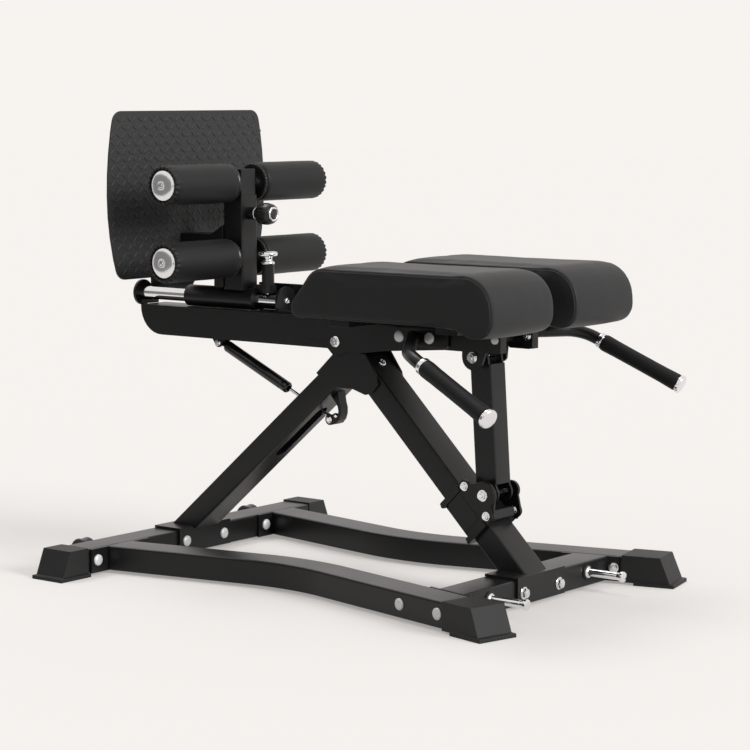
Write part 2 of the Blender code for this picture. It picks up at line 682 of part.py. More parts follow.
def spring_hook(steel, machine):
    """The curved strip under the rear strut, forked round the gas spring's lower eye."""
    foot = (SPRING_FOOT.x, SPRING_FOOT.z)
    normal = strut_normal()
    face = REAR_STRUT_FOOT - normal * (STRUT_DEPTH / 2 + SEAT)

    def on_face(distance):
        point = face + REAR_STRUT_DIRECTION * distance
        return (point.x, point.z)

    outline = [on_face(0.492), on_face(0.512), (-0.0822, 0.352), (-0.0786, 0.340),
               (-0.0788, 0.328), (-0.0825, 0.317), (-0.0905, 0.3075)]
    outline += arc(foot, HOOK_EAR_RADIUS, 290, 30, 8)
    outline += [(-0.0925, 0.3180), (-0.0868, 0.3245), (-0.0850, 0.3330), (-0.0868, 0.3420),
                (-0.0915, 0.3495)]
    body = prism(outline, "Y", -EYE_WIDTH / 2 - EAR_THICKNESS, EYE_WIDTH / 2 + EAR_THICKNESS)
    gap = EYE_WIDTH / 2 + RUNNING
    slit = rod(0.0135, SPRING_FOOT - ALONG_Y * gap, SPRING_FOOT + ALONG_Y * gap, 26)
    hole = rod(SPRING_BOLT_RADIUS + RUNNING, SPRING_FOOT - ALONG_Y * 0.05,
               SPRING_FOOT + ALONG_Y * 0.05, 16)
    solid("spring_hook", [body], steel, machine, cuts=[slit, hole])


# Beam

def beam_outline():
    """Side view of the beam's tube: its tail is rounded and its nose rises."""
    tail = rounded([(BEAM_REAR_X, BEAM_TOP_Z), (BEAM_REAR_X, BEAM_BOTTOM_Z),
                    (0.010, BEAM_BOTTOM_Z)], [0.003, 0.058, 0], 8)
    return tail + [Vector((0.200, BEAM_BOTTOM_Z + BEAM_NOSE_RISE)),
                   Vector((BEAM_FRONT_X, BEAM_BOTTOM_Z + BEAM_NOSE_RISE)),
                   Vector((BEAM_FRONT_X, BEAM_TOP_Z))]


def side_plate_outline():
    """The plate beside the beam, from the pivot's ear to the handle."""
    x, z = PIVOT.x, PIVOT.z
    rear_x = SIDE_PLATE_REAR_X
    return rounded([(rear_x, SIDE_PLATE_TOP_Z), (rear_x + 0.002, z + 0.018),
                    (rear_x + 0.012, z + 0.007), (x - 0.031, z + 0.003), (x - 0.020, z - 0.015),
                    (x - 0.0075, z - 0.0265), (x + 0.003, z - 0.0295), (x + 0.0305, z - 0.019),
                    (x + 0.0745, z - 0.018), (x + 0.1375, z - 0.009), (x + 0.1875, z + 0.001),
                    (SIDE_PLATE_END_X, z + 0.005), (SIDE_PLATE_END_X, SIDE_PLATE_TOP_Z)],
                   [0.004, 0.008, 0.006, 0.006, 0, 0, 0, 0, 0, 0, 0, 0.005, 0.004], 3)


def cheek_outline(radius):
    """A front cheek: an ear round the link's pivot, and a flat run under the pads."""
    ear = arc((LINK_TOP.x, LINK_TOP.z), radius, 180, 330)
    front = CHEEK_FRONT_X if radius > LINK_EYE_RADIUS else LINK_TOP.x + radius
    return ([Vector((CHEEK_REAR_X, SIDE_PLATE_TOP_Z)), Vector((CHEEK_REAR_X, CHEEK_SHELF_Z)),
             Vector((LINK_TOP.x - radius, CHEEK_SHELF_Z))] + ear
            + [Vector((front, CHEEK_BOTTOM_Z)), Vector((front, SIDE_PLATE_TOP_Z))])


def main_beam(steel, tilt):
    """The beam's tube with the plates welded beside it and the gas spring's ears below."""
    inner = BEAM_WIDTH / 2
    tube = prism(beam_outline(), "Y", -inner, inner)
    shapes = [tube]
    for side, sign in SIDES:
        low, high = sorted((sign * SIDE_PLATE_INNER_Y, sign * SIDE_PLATE_OUTER_Y))
        shapes.append(prism(side_plate_outline(), "Y", low, high))
        shapes.append(prism(cheek_outline(EAR_RADII[side]), "Y", low, high))
        low, high = sorted((sign * (inner - 0.002), sign * (SIDE_PLATE_INNER_Y + 0.002)))
        shapes.append(block((0.060, low, 0.484), (0.205, high, 0.516)))
        shapes.append(block((0.226, low, 0.484), (BEAM_FRONT_X - 0.002, high, 0.516)))
        ear_in = EYE_WIDTH / 2 + RUNNING
        low, high = sorted((sign * ear_in, sign * (ear_in + EAR_THICKNESS)))
        ear = [Vector((SPRING_TOP.x + 0.020, BEAM_BOTTOM_Z + 0.002)),
               Vector((SPRING_TOP.x - 0.020, BEAM_BOTTOM_Z + 0.002))]
        ear += arc((SPRING_TOP.x, SPRING_TOP.z), 0.010, 190, 350)
        shapes.append(prism(ear, "Y", low, high))
    reach = ALONG_Y * 0.1
    cuts = [rod(PIVOT_BOLT_RADIUS + SEAT, PIVOT - reach, PIVOT + reach),
            rod(LINK_BOLT_RADIUS + SEAT, LINK_TOP - reach, LINK_TOP + reach),
            rod(SPRING_BOLT_RADIUS + SEAT, SPRING_TOP - reach, SPRING_TOP + reach, 16)]
    solid("main_beam", shapes, steel, tilt, cuts=cuts)


def pad_brackets(steel, tilt):
    """Two bars across the beam, under the pads."""
    low_z = BEAM_TOP_Z + SEAT
    high_z = PAD_BASE_Z - SEAT
    for name, middle in (("rear_pad_bracket", PAD_BRACKET_REAR_X),
                         ("front_pad_bracket", PAD_BRACKET_FRONT_X)):
        bar = block((middle - PAD_BRACKET_WIDTH / 2, -PAD_BRACKET_LENGTH / 2, low_z),
                    (middle + PAD_BRACKET_WIDTH / 2, PAD_BRACKET_LENGTH / 2, high_z))
        shapes = [bar]
        if middle > BEAM_FRONT_X:
            shapes.append(block((BEAM_FRONT_X + SEAT, -SIDE_PLATE_INNER_Y + SEAT, BEAM_TOP_Z - 0.0285),
                                (middle - 0.010, SIDE_PLATE_INNER_Y - SEAT, low_z + 0.004)))
            shapes += hangers(middle - PAD_BRACKET_WIDTH / 2 - 0.005, low_z)
        solid(name, shapes, steel, tilt)


def hangers(rear_x, low_z):
    """Two angle plates below the front pad bracket, both bent to the left at the front."""
    right_y = -SIDE_PLATE_OUTER_Y - SEAT - HANGER_THICKNESS
    shapes = []
    for start_y, lift in ((right_y, 0.0), (LEFT_HANGER_Y, 0.001)):
        web = rounded([(rear_x, HANGER_DROP_Z + lift), (HANGER_FRONT_X, HANGER_DROP_Z + lift),
                       (HANGER_FRONT_X, low_z + 0.002), (rear_x, low_z + 0.002)],
                      [0.004, 0.008, 0, 0], 3)
        shapes.append(prism(web, "Y", start_y, start_y + HANGER_THICKNESS))
        bottom = HANGER_DROP_Z + lift + 0.001
        shapes.append(block((HANGER_FRONT_X - HANGER_THICKNESS, start_y, bottom),
                            (HANGER_FRONT_X - 0.0002, start_y + HANGER_FLANGE, low_z + 0.002)))
    return shapes


def pad_outline():
    """Side view of a thigh pad: a sloping tail, a flat top and a full, rounded nose."""
    corners = [(PAD_REAR_X + 0.0125, PAD_BASE_Z), (PAD_FLAT_X, PAD_BASE_Z),
               (PAD_FLAT_X + 0.023, PAD_BASE_Z - 0.004), (PAD_FLAT_X + 0.053, PAD_NOSE_Z),
               (PAD_FRONT_X, PAD_NOSE_Z), (PAD_FRONT_X, PAD_TOP_Z),
               (PAD_REAR_X + 0.0585, PAD_TOP_Z), (PAD_REAR_X, PAD_BASE_Z + 0.022)]
    radii = [0.009, 0, 0.03, 0.04, 0.036, PAD_NOSE_RADIUS, 0.045, 0.020]
    return rounded(corners, radii, 6)


def thigh_pads(leather, tilt):
    """Two padded cushions side by side, with softened side edges."""
    outline = pad_outline()
    middle = Vector((sum(p.x for p in outline), sum(p.y for p in outline))) / len(outline)
    soften = [(0.0, 0.0045), (0.0015, 0.0015), (0.005, 0.0), (0.040, -PAD_CROWN)]
    for side, sign in SIDES:
        rings = []
        width = PAD_OUTER_Y - PAD_INNER_Y
        stations = [(d, inset) for d, inset in soften]
        stations += [(width - d, inset) for d, inset in reversed(soften)]
        for depth, inset in stations:
            ring = []
            for point in outline:
                pull = (middle - point).normalized() * inset
                z = point.y + pull.y
                if point.x < PAD_FLAT_X + SEAT:
                    z = max(z, PAD_BASE_Z)
                ring.append(Vector((point.x + pull.x, sign * (PAD_INNER_Y + depth), z)))
            rings.append(ring)
        solid(f"{side}_thigh_pad", [closed_mesh(rings)], leather, tilt)


# Handles

def handle_path(sign):
    """The handle's centre line: out from the beam, then bent down along the grip."""
    root = Vector((HANDLE_ROOT_X, sign * (SIDE_PLATE_OUTER_Y + SEAT), HANDLE_ROOT_Z))
    corner = Vector((HANDLE_CORNER.x, sign * HANDLE_CORNER.y, HANDLE_CORNER.z))
    end = Vector((GRIP_END.x, sign * GRIP_END.y, GRIP_END.z))
    back = (root - corner).normalized()
    ahead = (end - corner).normalized()
    half = back.angle(ahead) / 2
    centre = corner + (back + ahead).normalized() * HANDLE_BEND_RADIUS / math.sin(half)
    tangent = HANDLE_BEND_RADIUS / math.tan(half)
    start = corner + back * tangent - centre
    finish = corner + ahead * tangent - centre
    normal = start.cross(finish).normalized()
    turn = start.angle(finish)
    bend = [centre + Matrix.Rotation(turn * i / 8, 3, normal) @ start for i in range(9)]
    return [root] + bend + [end]


def grip_axis(sign):
    """Start, end and direction of a grip, on the handle's last straight."""
    corner = Vector((HANDLE_CORNER.x, sign * HANDLE_CORNER.y, HANDLE_CORNER.z))
    end = Vector((GRIP_END.x, sign * GRIP_END.y, GRIP_END.z))
    ahead = (end - corner).normalized()
    return end - ahead * GRIP_LENGTH, end, ahead


def handles(steel, rubber, chrome, tilt):
    """Bent tubes bolted beside the beam, each with a grip, a ring and an end cap."""
    for side, sign in SIDES:
        start, end, ahead = grip_axis(sign)
        path = handle_path(sign)
        tube = sweep(round_section(HANDLE_RADIUS, 20), path, ALONG_Z)
        low, high = sorted((sign * (SIDE_PLATE_OUTER_Y + SEAT),
                            sign * (SIDE_PLATE_OUTER_Y + SEAT + SIDE_PLATE)))
        trim(tube, Vector((0, sign * (SIDE_PLATE_OUTER_Y + 0.002), 0)), -ALONG_Y * sign)
        plate_z = HANDLE_ROOT_Z + 0.002
        plate = prism(rounded([(0.078, plate_z - HANDLE_PLATE_HEIGHT / 2),
                               (0.078 + HANDLE_PLATE_LENGTH, plate_z - HANDLE_PLATE_HEIGHT / 2),
                               (0.078 + HANDLE_PLATE_LENGTH, plate_z + HANDLE_PLATE_HEIGHT / 2),
                               (0.078, plate_z + HANDLE_PLATE_HEIGHT / 2)], 0.006, 3),
                      "Y", low, high)
        solid(f"{side}_handle", [plate, tube], steel, tilt)
        bore = HANDLE_RADIUS + SEAT
        ring = [(bore, -0.005), (GRIP_RADIUS - 0.001, -0.005), (GRIP_RADIUS - 0.001, 0.004),
                (bore, 0.004)]
        solid(f"{side}_grip_ring", [turned(ring, start, ahead, loop=True)], chrome, tilt)
        sleeve = [(bore, 0.0043), (GRIP_RADIUS - 0.001, 0.0043), (GRIP_RADIUS, 0.007),
                  (GRIP_RADIUS, GRIP_LENGTH - SEAT), (bore, GRIP_LENGTH - SEAT)]
        solid(f"{side}_grip", [turned(sleeve, start, ahead, loop=True)], rubber, tilt)
        cap = [(0, SEAT), (GRIP_CAP_RADIUS, SEAT), (GRIP_CAP_RADIUS, GRIP_CAP_LENGTH - 0.002),
               (GRIP_CAP_RADIUS - 0.002, GRIP_CAP_LENGTH), (0, GRIP_CAP_LENGTH)]
        solid(f"{side}_grip_cap", [turned(cap, end, ahead)], chrome, tilt)


# Slide rail

def slide_rail(steel, chrome, tilt):
    """The chrome rail between its two end plates, grooved where the pin engages."""
    axis = Vector((0, 0, RAIL_AXIS_Z))
    rear_x = RAIL_REAR_X + RAIL_PLATE
    front_x = RAIL_FRONT_X - RAIL_PLATE
    bar = rod(RAIL_RADIUS, axis + ALONG_X * (rear_x - RAIL_SOCKET),
              axis + ALONG_X * (front_x + RAIL_SOCKET), 26)
    groove = block((PIN_X - FOOT_TRAVEL_BACK - RAIL_GROOVE_WIDTH / 2, -RAIL_GROOVE_WIDTH / 2,
                    PIN_TIP_Z - 0.003),
                   (PIN_X + FOOT_TRAVEL_FORWARD + RAIL_GROOVE_WIDTH / 2, RAIL_GROOVE_WIDTH / 2,
                    RAIL_AXIS_Z + 2 * RAIL_RADIUS))
    solid("slide_rail", [bar], chrome, tilt, cuts=[groove])

    socket = RAIL_RADIUS + SEAT
    low_z = BEAM_TOP_Z + SEAT
    disc = turned([(RAIL_REAR_DISC, 0), (RAIL_REAR_DISC, RAIL_PLATE)],
                  axis + ALONG_X * RAIL_REAR_X, ALONG_X, steps=26)
    lug = block((RAIL_REAR_X + 0.002, -0.014, low_z), (BEAM_REAR_X + 0.004, 0.014, low_z + 0.0075))
    outline = [(RAIL_REAR_X + 0.002, REAR_FIN_BOTTOM_Z), (REAR_FIN_FRONT_X, REAR_FIN_BOTTOM_Z),
               (REAR_FIN_FRONT_X + 0.002, REAR_FIN_TOP_Z - 0.018),
               (REAR_FIN_FRONT_X + 0.014, REAR_FIN_TOP_Z), (RAIL_REAR_X + 0.002, REAR_FIN_TOP_Z)]
    fin = prism(outline, "Y", REAR_FIN_Y, REAR_FIN_Y + RAIL_FIN)
    hole = rod(socket, axis + ALONG_X * (rear_x - RAIL_SOCKET - SEAT), axis, 26)
    solid("rear_rail_plate", [disc, lug, fin], steel, tilt, cuts=[hole])

    plate = turned([(RAIL_FRONT_DISC, 0), (RAIL_FRONT_DISC, RAIL_PLATE)],
                   axis + ALONG_X * front_x, ALONG_X, steps=26)
    trim(plate, Vector((0, 0, low_z)), -ALONG_Z)
    foot = block((front_x + 0.001, -0.026, low_z), (front_x + 0.040, RAIL_FIN_Y + 0.001, low_z + PLATE))
    fin = block((RAIL_FIN_REAR_X, RAIL_FIN_Y, low_z),
                (front_x + 0.040, RAIL_FIN_Y + RAIL_FIN, RAIL_FIN_TOP_Z))
    hole = rod(socket, axis + ALONG_X * -0.5, axis + ALONG_X * (front_x + RAIL_SOCKET + SEAT), 26)
    solid("front_rail_plate", [plate, foot, fin], steel, tilt, cuts=[hole])


# Link and carriage

def link(steel, link_axis):
    """The link between the beam's nose and the carriage; its lower ears are an open pivot."""
    down = (LINK_BAR_END - LINK_TOP).normalized()
    bar_start = LINK_TOP + down * (LINK_EYE_RADIUS - 0.003)
    bar = sweep(box_section(LINK_SIZE, LINK_SIZE), [bar_start, LINK_BAR_END])
    shapes = [bar]
    for point, root in ((LINK_TOP, bar_start + down * 0.004), (LINK_FOOT, LINK_BAR_END - down * 0.004)):
        outline = link_ear_outline(point, root, down)
        for _, sign in SIDES:
            low, high = sorted((sign * (LINK_SIZE / 2 - LINK_EAR), sign * LINK_SIZE / 2))
            shapes.append(prism(outline, "Y", low, high))
    far = ALONG_Y * 0.1
    cuts = [rod(LINK_BOLT_RADIUS + RUNNING, LINK_TOP - far, LINK_TOP + far),
            rod(LINK_BOLT_RADIUS + OPEN_PIVOT_GAP, LINK_FOOT - far, LINK_FOOT + far)]
    solid("link", shapes, steel, link_axis, cuts=cuts)


def link_ear_outline(point, root, down):
    """Side view of an ear: as wide as the tube at its root, and round at its bolt."""
    inward = root - point
    heading = math.degrees(math.atan2(inward.z, inward.x))
    across = Vector((-down.z, 0, down.x)) * (LINK_SIZE / 2 - TUBE_CORNER)
    if across.dot(Vector((-inward.z, 0, inward.x))) < 0:
        across = -across
    corners = [root - across, root + across]
    return ([Vector((corner.x, corner.z)) for corner in corners]
            + arc((point.x, point.z), LINK_EYE_RADIUS, heading + 90, heading + 270))


def strut_place(distance, depth):
    """A point beside the front strut: distance down from the link's foot, depth forward."""
    down = -FRONT_STRUT_DIRECTION
    forward = Vector((FRONT_STRUT_DIRECTION.z, 0, -FRONT_STRUT_DIRECTION.x))
    along = (LINK_FOOT - FRONT_STRUT_FOOT).dot(down) + CARRIAGE_DROP
    return FRONT_STRUT_FOOT + down * (along + distance) + forward * depth


def carriage(steel, chrome, slide):
    """A sleeve round the front strut with two cheeks that hold the link's foot."""
    half_y = CARRIAGE_OUTER_Y
    depth = STRUT_DEPTH / 2 + RUNNING
    wall = CARRIAGE_WALL
    ends = [strut_place(d * CARRIAGE_LENGTH / 2, 0) for d in (-1, 1)]
    shell = sweep(box_section(2 * half_y, 2 * (depth + wall)), ends)
    passage = sweep(box_section(2 * CARRIAGE_INNER_Y, 2 * depth),
                    [strut_place(d * CARRIAGE_LENGTH, 0) for d in (-1, 1)])
    cheeks = carriage_collars()
    for side, sign in SIDES:
        low, high = sorted((sign * (half_y - 0.001), sign * (half_y - 0.001 + CHEEK_THICKNESS)))
        cheeks.append(prism(carriage_cheek_outline(CARRIAGE_BOSSES[side]), "Y", low, high))
    far = ALONG_Y * 0.1
    hole = rod(LINK_BOLT_RADIUS + SEAT, LINK_FOOT - far, LINK_FOOT + far)
    stud = RELEASE_STUD + RUNNING
    slot = sweep(box_section(2 * stud, 2 * stud + RELEASE_TRAVEL, stud * 0.9),
                 [strut_place(RELEASE_OFFSET, RELEASE_DEPTH + RELEASE_TRAVEL / 2) + side * far
                  for side in (-1, 1)], -FRONT_STRUT_DIRECTION)
    solid("carriage_sleeve", [shell] + cheeks, steel, slide, cuts=[passage, hole, slot])
    bolt("carriage_pivot_bolt", LINK_FOOT, cheek_outer_y() + SEAT, LINK_BOLT_RADIUS, chrome, slide)


def cheek_outer_y():
    """Outer face of the carriage's cheeks."""
    return CARRIAGE_OUTER_Y - 0.001 + CHEEK_THICKNESS


def carriage_collars():
    """The thicker rim at each end of the sleeve, with a rolled edge behind the strut."""
    shapes = []
    half_y = CARRIAGE_OUTER_Y + COLLAR_STEP
    half_depth = STRUT_DEPTH / 2 + RUNNING + CARRIAGE_WALL
    for end in (-1, 1):
        low = strut_place(end * (CARRIAGE_LENGTH / 2 - COLLAR_WIDTH), 0)
        high = strut_place(end * (CARRIAGE_LENGTH / 2 + COLLAR_STEP), 0)
        shapes.append(sweep(box_section(2 * half_y, 2 * half_depth + COLLAR_STEP), [low, high]))
        roll = strut_place(end * (CARRIAGE_LENGTH / 2 - COLLAR_WIDTH / 2), -half_depth - COLLAR_STEP)
        shapes.append(rod(COLLAR_WIDTH / 2 + 0.001, roll - ALONG_Y * half_y, roll + ALONG_Y * half_y, 16))
    return shapes


def carriage_cheek_outline(boss):
    """Side view of a cheek: a flat on the sleeve, a boss at the pivot, a lobe at the release."""
    down = -FRONT_STRUT_DIRECTION
    heading = math.degrees(math.atan2(down.z, down.x))

    def place(distance, depth):
        point = strut_place(distance, depth)
        return (point.x, point.z)

    pivot = (LINK_FOOT.x, LINK_FOOT.z)
    release = place(RELEASE_OFFSET, RELEASE_DEPTH)
    outline = [place(-0.040, -0.018), place(0.040, -0.018)]
    outline += arc(release, BOLT_LOBE, heading - 20, heading + 65)
    outline += arc(pivot, boss, heading + 20, heading + 150)
    outline += arc(place(-0.036, 0.030), 0.010, heading + 90, heading + 180, 4)
    return outline


def carriage_release(steel, parent):
    """The pull bar across the carriage; its studs slide in slots in the cheeks."""
    centre = strut_place(RELEASE_OFFSET, RELEASE_DEPTH)
    inner = cheek_outer_y() - CHEEK_THICKNESS - RUNNING
    outer = cheek_outer_y() + RUNNING
    half = [(RELEASE_RADIUS, inner), (RELEASE_STUD, inner), (RELEASE_STUD, outer),
            (RELEASE_RADIUS, outer), (RELEASE_RADIUS, outer + 0.004),
            (RELEASE_RADIUS * 0.6, outer + 0.006), (0, outer + 0.006)]
    profile = [(radius, -y) for radius, y in reversed(half)] + half
    solid("release_bar", [turned(profile, centre, ALONG_Y)], steel, parent, origin=centre)


# Gas spring

def gas_spring(steel, chrome, top_axis, foot_axis, tilt, machine):
    """A cylinder hung from the beam and a rod pinned in the hook, free to telescope."""
    along = (SPRING_FOOT - SPRING_TOP).normalized()
    half = ALONG_Y * EYE_WIDTH / 2
    far = ALONG_Y * 0.05
    body = turned([(0, 0.006), (0.007, 0.006), (0.007, 0.014), (SPRING_RADIUS, 0.018),
                   (SPRING_RADIUS, SPRING_BODY - 0.002), (SPRING_RADIUS - 0.002, SPRING_BODY),
                   (0, SPRING_BODY)], SPRING_TOP, along)
    bore = rod(SPRING_BORE, SPRING_TOP + along * (SPRING_BODY - SPRING_BORE_DEPTH),
               SPRING_TOP + along * (SPRING_BODY + 0.02))
    hole = SPRING_BOLT_RADIUS + RUNNING
    solid("gas_cylinder", [body, rod(EYE_RADIUS, SPRING_TOP - half, SPRING_TOP + half)], steel,
          top_axis, cuts=[bore, rod(hole, SPRING_TOP - far, SPRING_TOP + far, 16)])
    piston_rod = rod(ROD_RADIUS, SPRING_FOOT - along * 0.004, SPRING_FOOT - along * ROD_LENGTH, 16)
    solid("gas_rod", [rod(EYE_RADIUS, SPRING_FOOT - half, SPRING_FOOT + half), piston_rod],
          chrome, foot_axis, cuts=[rod(hole, SPRING_FOOT - far, SPRING_FOOT + far, 16)])
    reach = EYE_WIDTH / 2 + RUNNING + EAR_THICKNESS + SEAT
    bolt("spring_top_bolt", SPRING_TOP, reach, SPRING_BOLT_RADIUS, chrome, tilt)
    bolt("spring_foot_bolt", SPRING_FOOT, reach, SPRING_BOLT_RADIUS, chrome, machine)


# Foot carriage

def foot_carriage(steel, carriage_axis):
    """The sleeve on the slide rail with the post, the pin's housing and the knob's bush."""
    axis = Vector((0, 0, RAIL_AXIS_Z))
    half = POST_SIZE / 2
    sleeve = rod(SLEEVE_RADIUS, axis + ALONG_X * SLEEVE_REAR_X, axis + ALONG_X * SLEEVE_FRONT_X, 26)
    flange = rod(SLEEVE_FLANGE_RADIUS, axis + ALONG_X * (SLEEVE_FRONT_X - 0.006),
                 axis + ALONG_X * (SLEEVE_FRONT_X + 0.0005), 26)
    trim(sleeve, Vector((0, 0, BEAM_TOP_Z + 0.001)), -ALONG_Z)
    trim(flange, Vector((0, 0, BEAM_TOP_Z + 0.001)), -ALONG_Z)
    post = sweep(box_section(POST_SIZE, POST_SIZE, 0.004),
                 [Vector((POST_X, 0, RAIL_AXIS_Z + SLEEVE_RADIUS * 0.85)),
                  Vector((POST_X, 0, POST_TOP_Z))])
    lug = block((SLEEVE_FRONT_X - 0.010, -LUG_WIDTH / 2, LUG_BOTTOM_Z),
                (LUG_FRONT_X, LUG_WIDTH / 2, LUG_BOTTOM_Z + LUG_THICKNESS))
    housing = rod(PIN_HOUSING_RADIUS, Vector((PIN_X, 0, LUG_BOTTOM_Z - 0.0005)),
                  Vector((PIN_X, 0, PIN_HOUSING_TOP_Z)))
    bush = rod(KNOB_BUSH_RADIUS, Vector((POST_FRONT_X - 0.001, 0, KNOB_Z)),
               Vector((POST_FRONT_X + KNOB_BUSH_LENGTH, 0, KNOB_Z)))
    inside = POST_SIZE - 2 * POST_WALL
    passage = sweep(box_section(inside, inside, 0.002),
                    [Vector((POST_X, 0, POST_FLOOR_Z)), Vector((POST_X, 0, POST_TOP_Z + 0.05))])
    bore = rod(RAIL_RADIUS + RUNNING, axis + ALONG_X * -0.7, axis + ALONG_X * -0.2, 26)
    pin_bore = rod(PIN_RADIUS + RUNNING, Vector((PIN_X, 0, RAIL_AXIS_Z)), Vector((PIN_X, 0, 0.7)))
    knob_bore = rod(PLUNGER_RADIUS + RUNNING, Vector((POST_X, 0, KNOB_Z)), Vector((-0.2, 0, KNOB_Z)))
    lower = Vector((POST_X, 0, LOWER_AXLE_Z))
    axle_bore = rod(AXLE_RADIUS + SEAT, lower - ALONG_Y * 0.1, lower + ALONG_Y * 0.1)
    solid("foot_carriage", [post, sleeve, flange, lug, housing, bush], steel, carriage_axis,
          cuts=[passage, bore, pin_bore, knob_bore, axle_bore])


def foot_plate_outline():
    """Front view of the foot plate: straight ends, bowed sides and rounded corners."""
    middle_z = (FOOT_PLATE_BOTTOM_Z + FOOT_PLATE_TOP_Z) / 2
    half_z = (FOOT_PLATE_TOP_Z - FOOT_PLATE_BOTTOM_Z) / 2
    corners = []
    for step in range(9):
        t = -1 + step / 4
        end = FOOT_PLATE_TOP_Y if t > 0 else FOOT_PLATE_BOTTOM_Y
        corners.append((FOOT_PLATE_WAIST_Y - (FOOT_PLATE_WAIST_Y - end) * t * t,
                        middle_z + half_z * t))
    corners += [(-y, z) for y, z in reversed(corners)]
    ends = (0, 8, 9, 17)
    radii = [FOOT_PLATE_CORNER if index in ends else 0 for index in range(len(corners))]
    return rounded(corners, radii)


def foot_plate(steel, grip, carriage_axis):
    """The foot plate on its arm behind the post."""
    solid("foot_plate", [prism(foot_plate_outline(), "X", FOOT_PLATE_X - FOOT_PLATE_THICKNESS,
                               FOOT_PLATE_X)], grip, carriage_axis)
    foot_z = RAIL_AXIS_Z + SLEEVE_RADIUS + 3 * SEAT
    outline = [(FOOT_PLATE_X + SEAT, ARM_BOTTOM_Z), (POST_BACK_X - ARM_FOOT, ARM_BOTTOM_Z),
               (POST_BACK_X - ARM_FOOT, foot_z), (POST_BACK_X - SEAT, foot_z),
               (POST_BACK_X - SEAT, ARM_STEP_Z), (POST_BACK_X - ARM_STEP, ARM_TOP_Z),
               (FOOT_PLATE_X + SEAT, ARM_TOP_Z)]
    solid("foot_plate_arm", [prism(outline, "Y", -ARM_WIDTH / 2, ARM_WIDTH / 2)], steel,
          carriage_axis)


def height_tube(steel, height_axis):
    """The inner tube that carries the upper rollers."""
    size = POST_SIZE - 2 * POST_WALL - 2 * SEAT
    tube = sweep(box_section(size, size, 0.002),
                 [Vector((POST_X, 0, HEIGHT_TUBE_BOTTOM_Z)), Vector((POST_X, 0, HEIGHT_TUBE_TOP_Z))])
    upper = Vector((POST_X, 0, UPPER_AXLE_Z))
    hole = rod(AXLE_RADIUS + SEAT, upper - ALONG_Y * 0.1, upper + ALONG_Y * 0.1)
    solid("height_tube", [tube], steel, height_axis, cuts=[hole])


def knob(plastic, carriage_axis):
    """The spring knob that locks the height tube."""
    start = Vector((POST_FRONT_X + KNOB_BUSH_LENGTH + SEAT, 0, KNOB_Z))
    tip = -KNOB_BUSH_LENGTH - POST_WALL * 0.6
    profile = [(0, tip), (PLUNGER_RADIUS, tip), (PLUNGER_RADIUS, 0), (0.010, 0),
               (0.012, 0.006), (KNOB_RADIUS - 0.003, 0.012), (KNOB_RADIUS, 0.020),
               (KNOB_RADIUS, KNOB_LENGTH - 0.016), (KNOB_RADIUS - 0.004, KNOB_LENGTH - 0.004),
               (KNOB_RADIUS - 0.010, KNOB_LENGTH), (0, KNOB_LENGTH)]
    solid("height_knob", [turned(profile, start, ALONG_X, steps=26)], plastic, carriage_axis,
          origin=start)


def slide_pin(chrome, carriage_axis):
    """The pop pin that holds the foot carriage on its rail."""
    start = Vector((PIN_X, 0, PIN_TIP_Z))
    neck = PIN_HOUSING_TOP_Z + SEAT - PIN_TIP_Z
    top = PIN_TOP_Z - PIN_TIP_Z
    profile = [(0, 0), (PIN_RADIUS - 0.001, 0), (PIN_RADIUS, 0.002), (PIN_RADIUS, neck),
               (0.014, neck), (0.014, neck + 0.004), (0.009, neck + 0.006), (0.009, top - 0.012),
               (PIN_HEAD_RADIUS - 0.002, top - 0.009), (PIN_HEAD_RADIUS, top - 0.006),
               (PIN_HEAD_RADIUS - 0.003, top - 0.001), (PIN_HEAD_RADIUS - 0.008, top), (0, top)]
    solid("slide_pin", [turned(profile, start, ALONG_Z)], chrome, carriage_axis, origin=start)


def roller_set(level, height, foam, chrome, parent):
    """An axle with its two chrome end caps, and a foam roller on each side."""
    centre = Vector((POST_X, 0, height))
    out = AXLE_END_Y + AXLE_CAP_LENGTH
    collar = ROLLER_INNER_Y - 2 * SEAT
    root = POST_SIZE / 2 + SEAT
    half = [(AXLE_RADIUS, root), (0.011, root), (0.011, collar), (AXLE_RADIUS, collar),
            (AXLE_RADIUS, AXLE_END_Y), (AXLE_CAP_RADIUS, AXLE_END_Y),
            (AXLE_CAP_RADIUS, AXLE_END_Y + AXLE_CAP_LENGTH * 0.35),
            (AXLE_CAP_RADIUS * 0.72, AXLE_END_Y + AXLE_CAP_LENGTH * 0.85),
            (AXLE_CAP_RADIUS * 0.35, out), (0, out)]
    profile = [(radius, -y) for radius, y in reversed(half)] + half
    solid(f"{level}_axle", [turned(profile, centre, ALONG_Y)], chrome, parent)
    bore = AXLE_RADIUS + RUNNING
    low, high = ROLLER_INNER_Y, ROLLER_INNER_Y + ROLLER_LENGTH
    soft = ROLLER_SHOULDER
    shape = [(bore, low), (ROLLER_RADIUS - soft, low), (ROLLER_RADIUS - soft * 0.3, low + soft * 0.3),
             (ROLLER_RADIUS, low + soft), (ROLLER_RADIUS, high - soft),
             (ROLLER_RADIUS - soft * 0.2, high - soft * 0.4), (ROLLER_RADIUS - soft * 0.4, high),
             (bore, high)]
    for side, sign in SIDES:
        solid(f"{level}_{side}_roller", [turned(shape, centre, ALONG_Y * sign, loop=True, steps=26)],
              foam, parent, origin=centre)


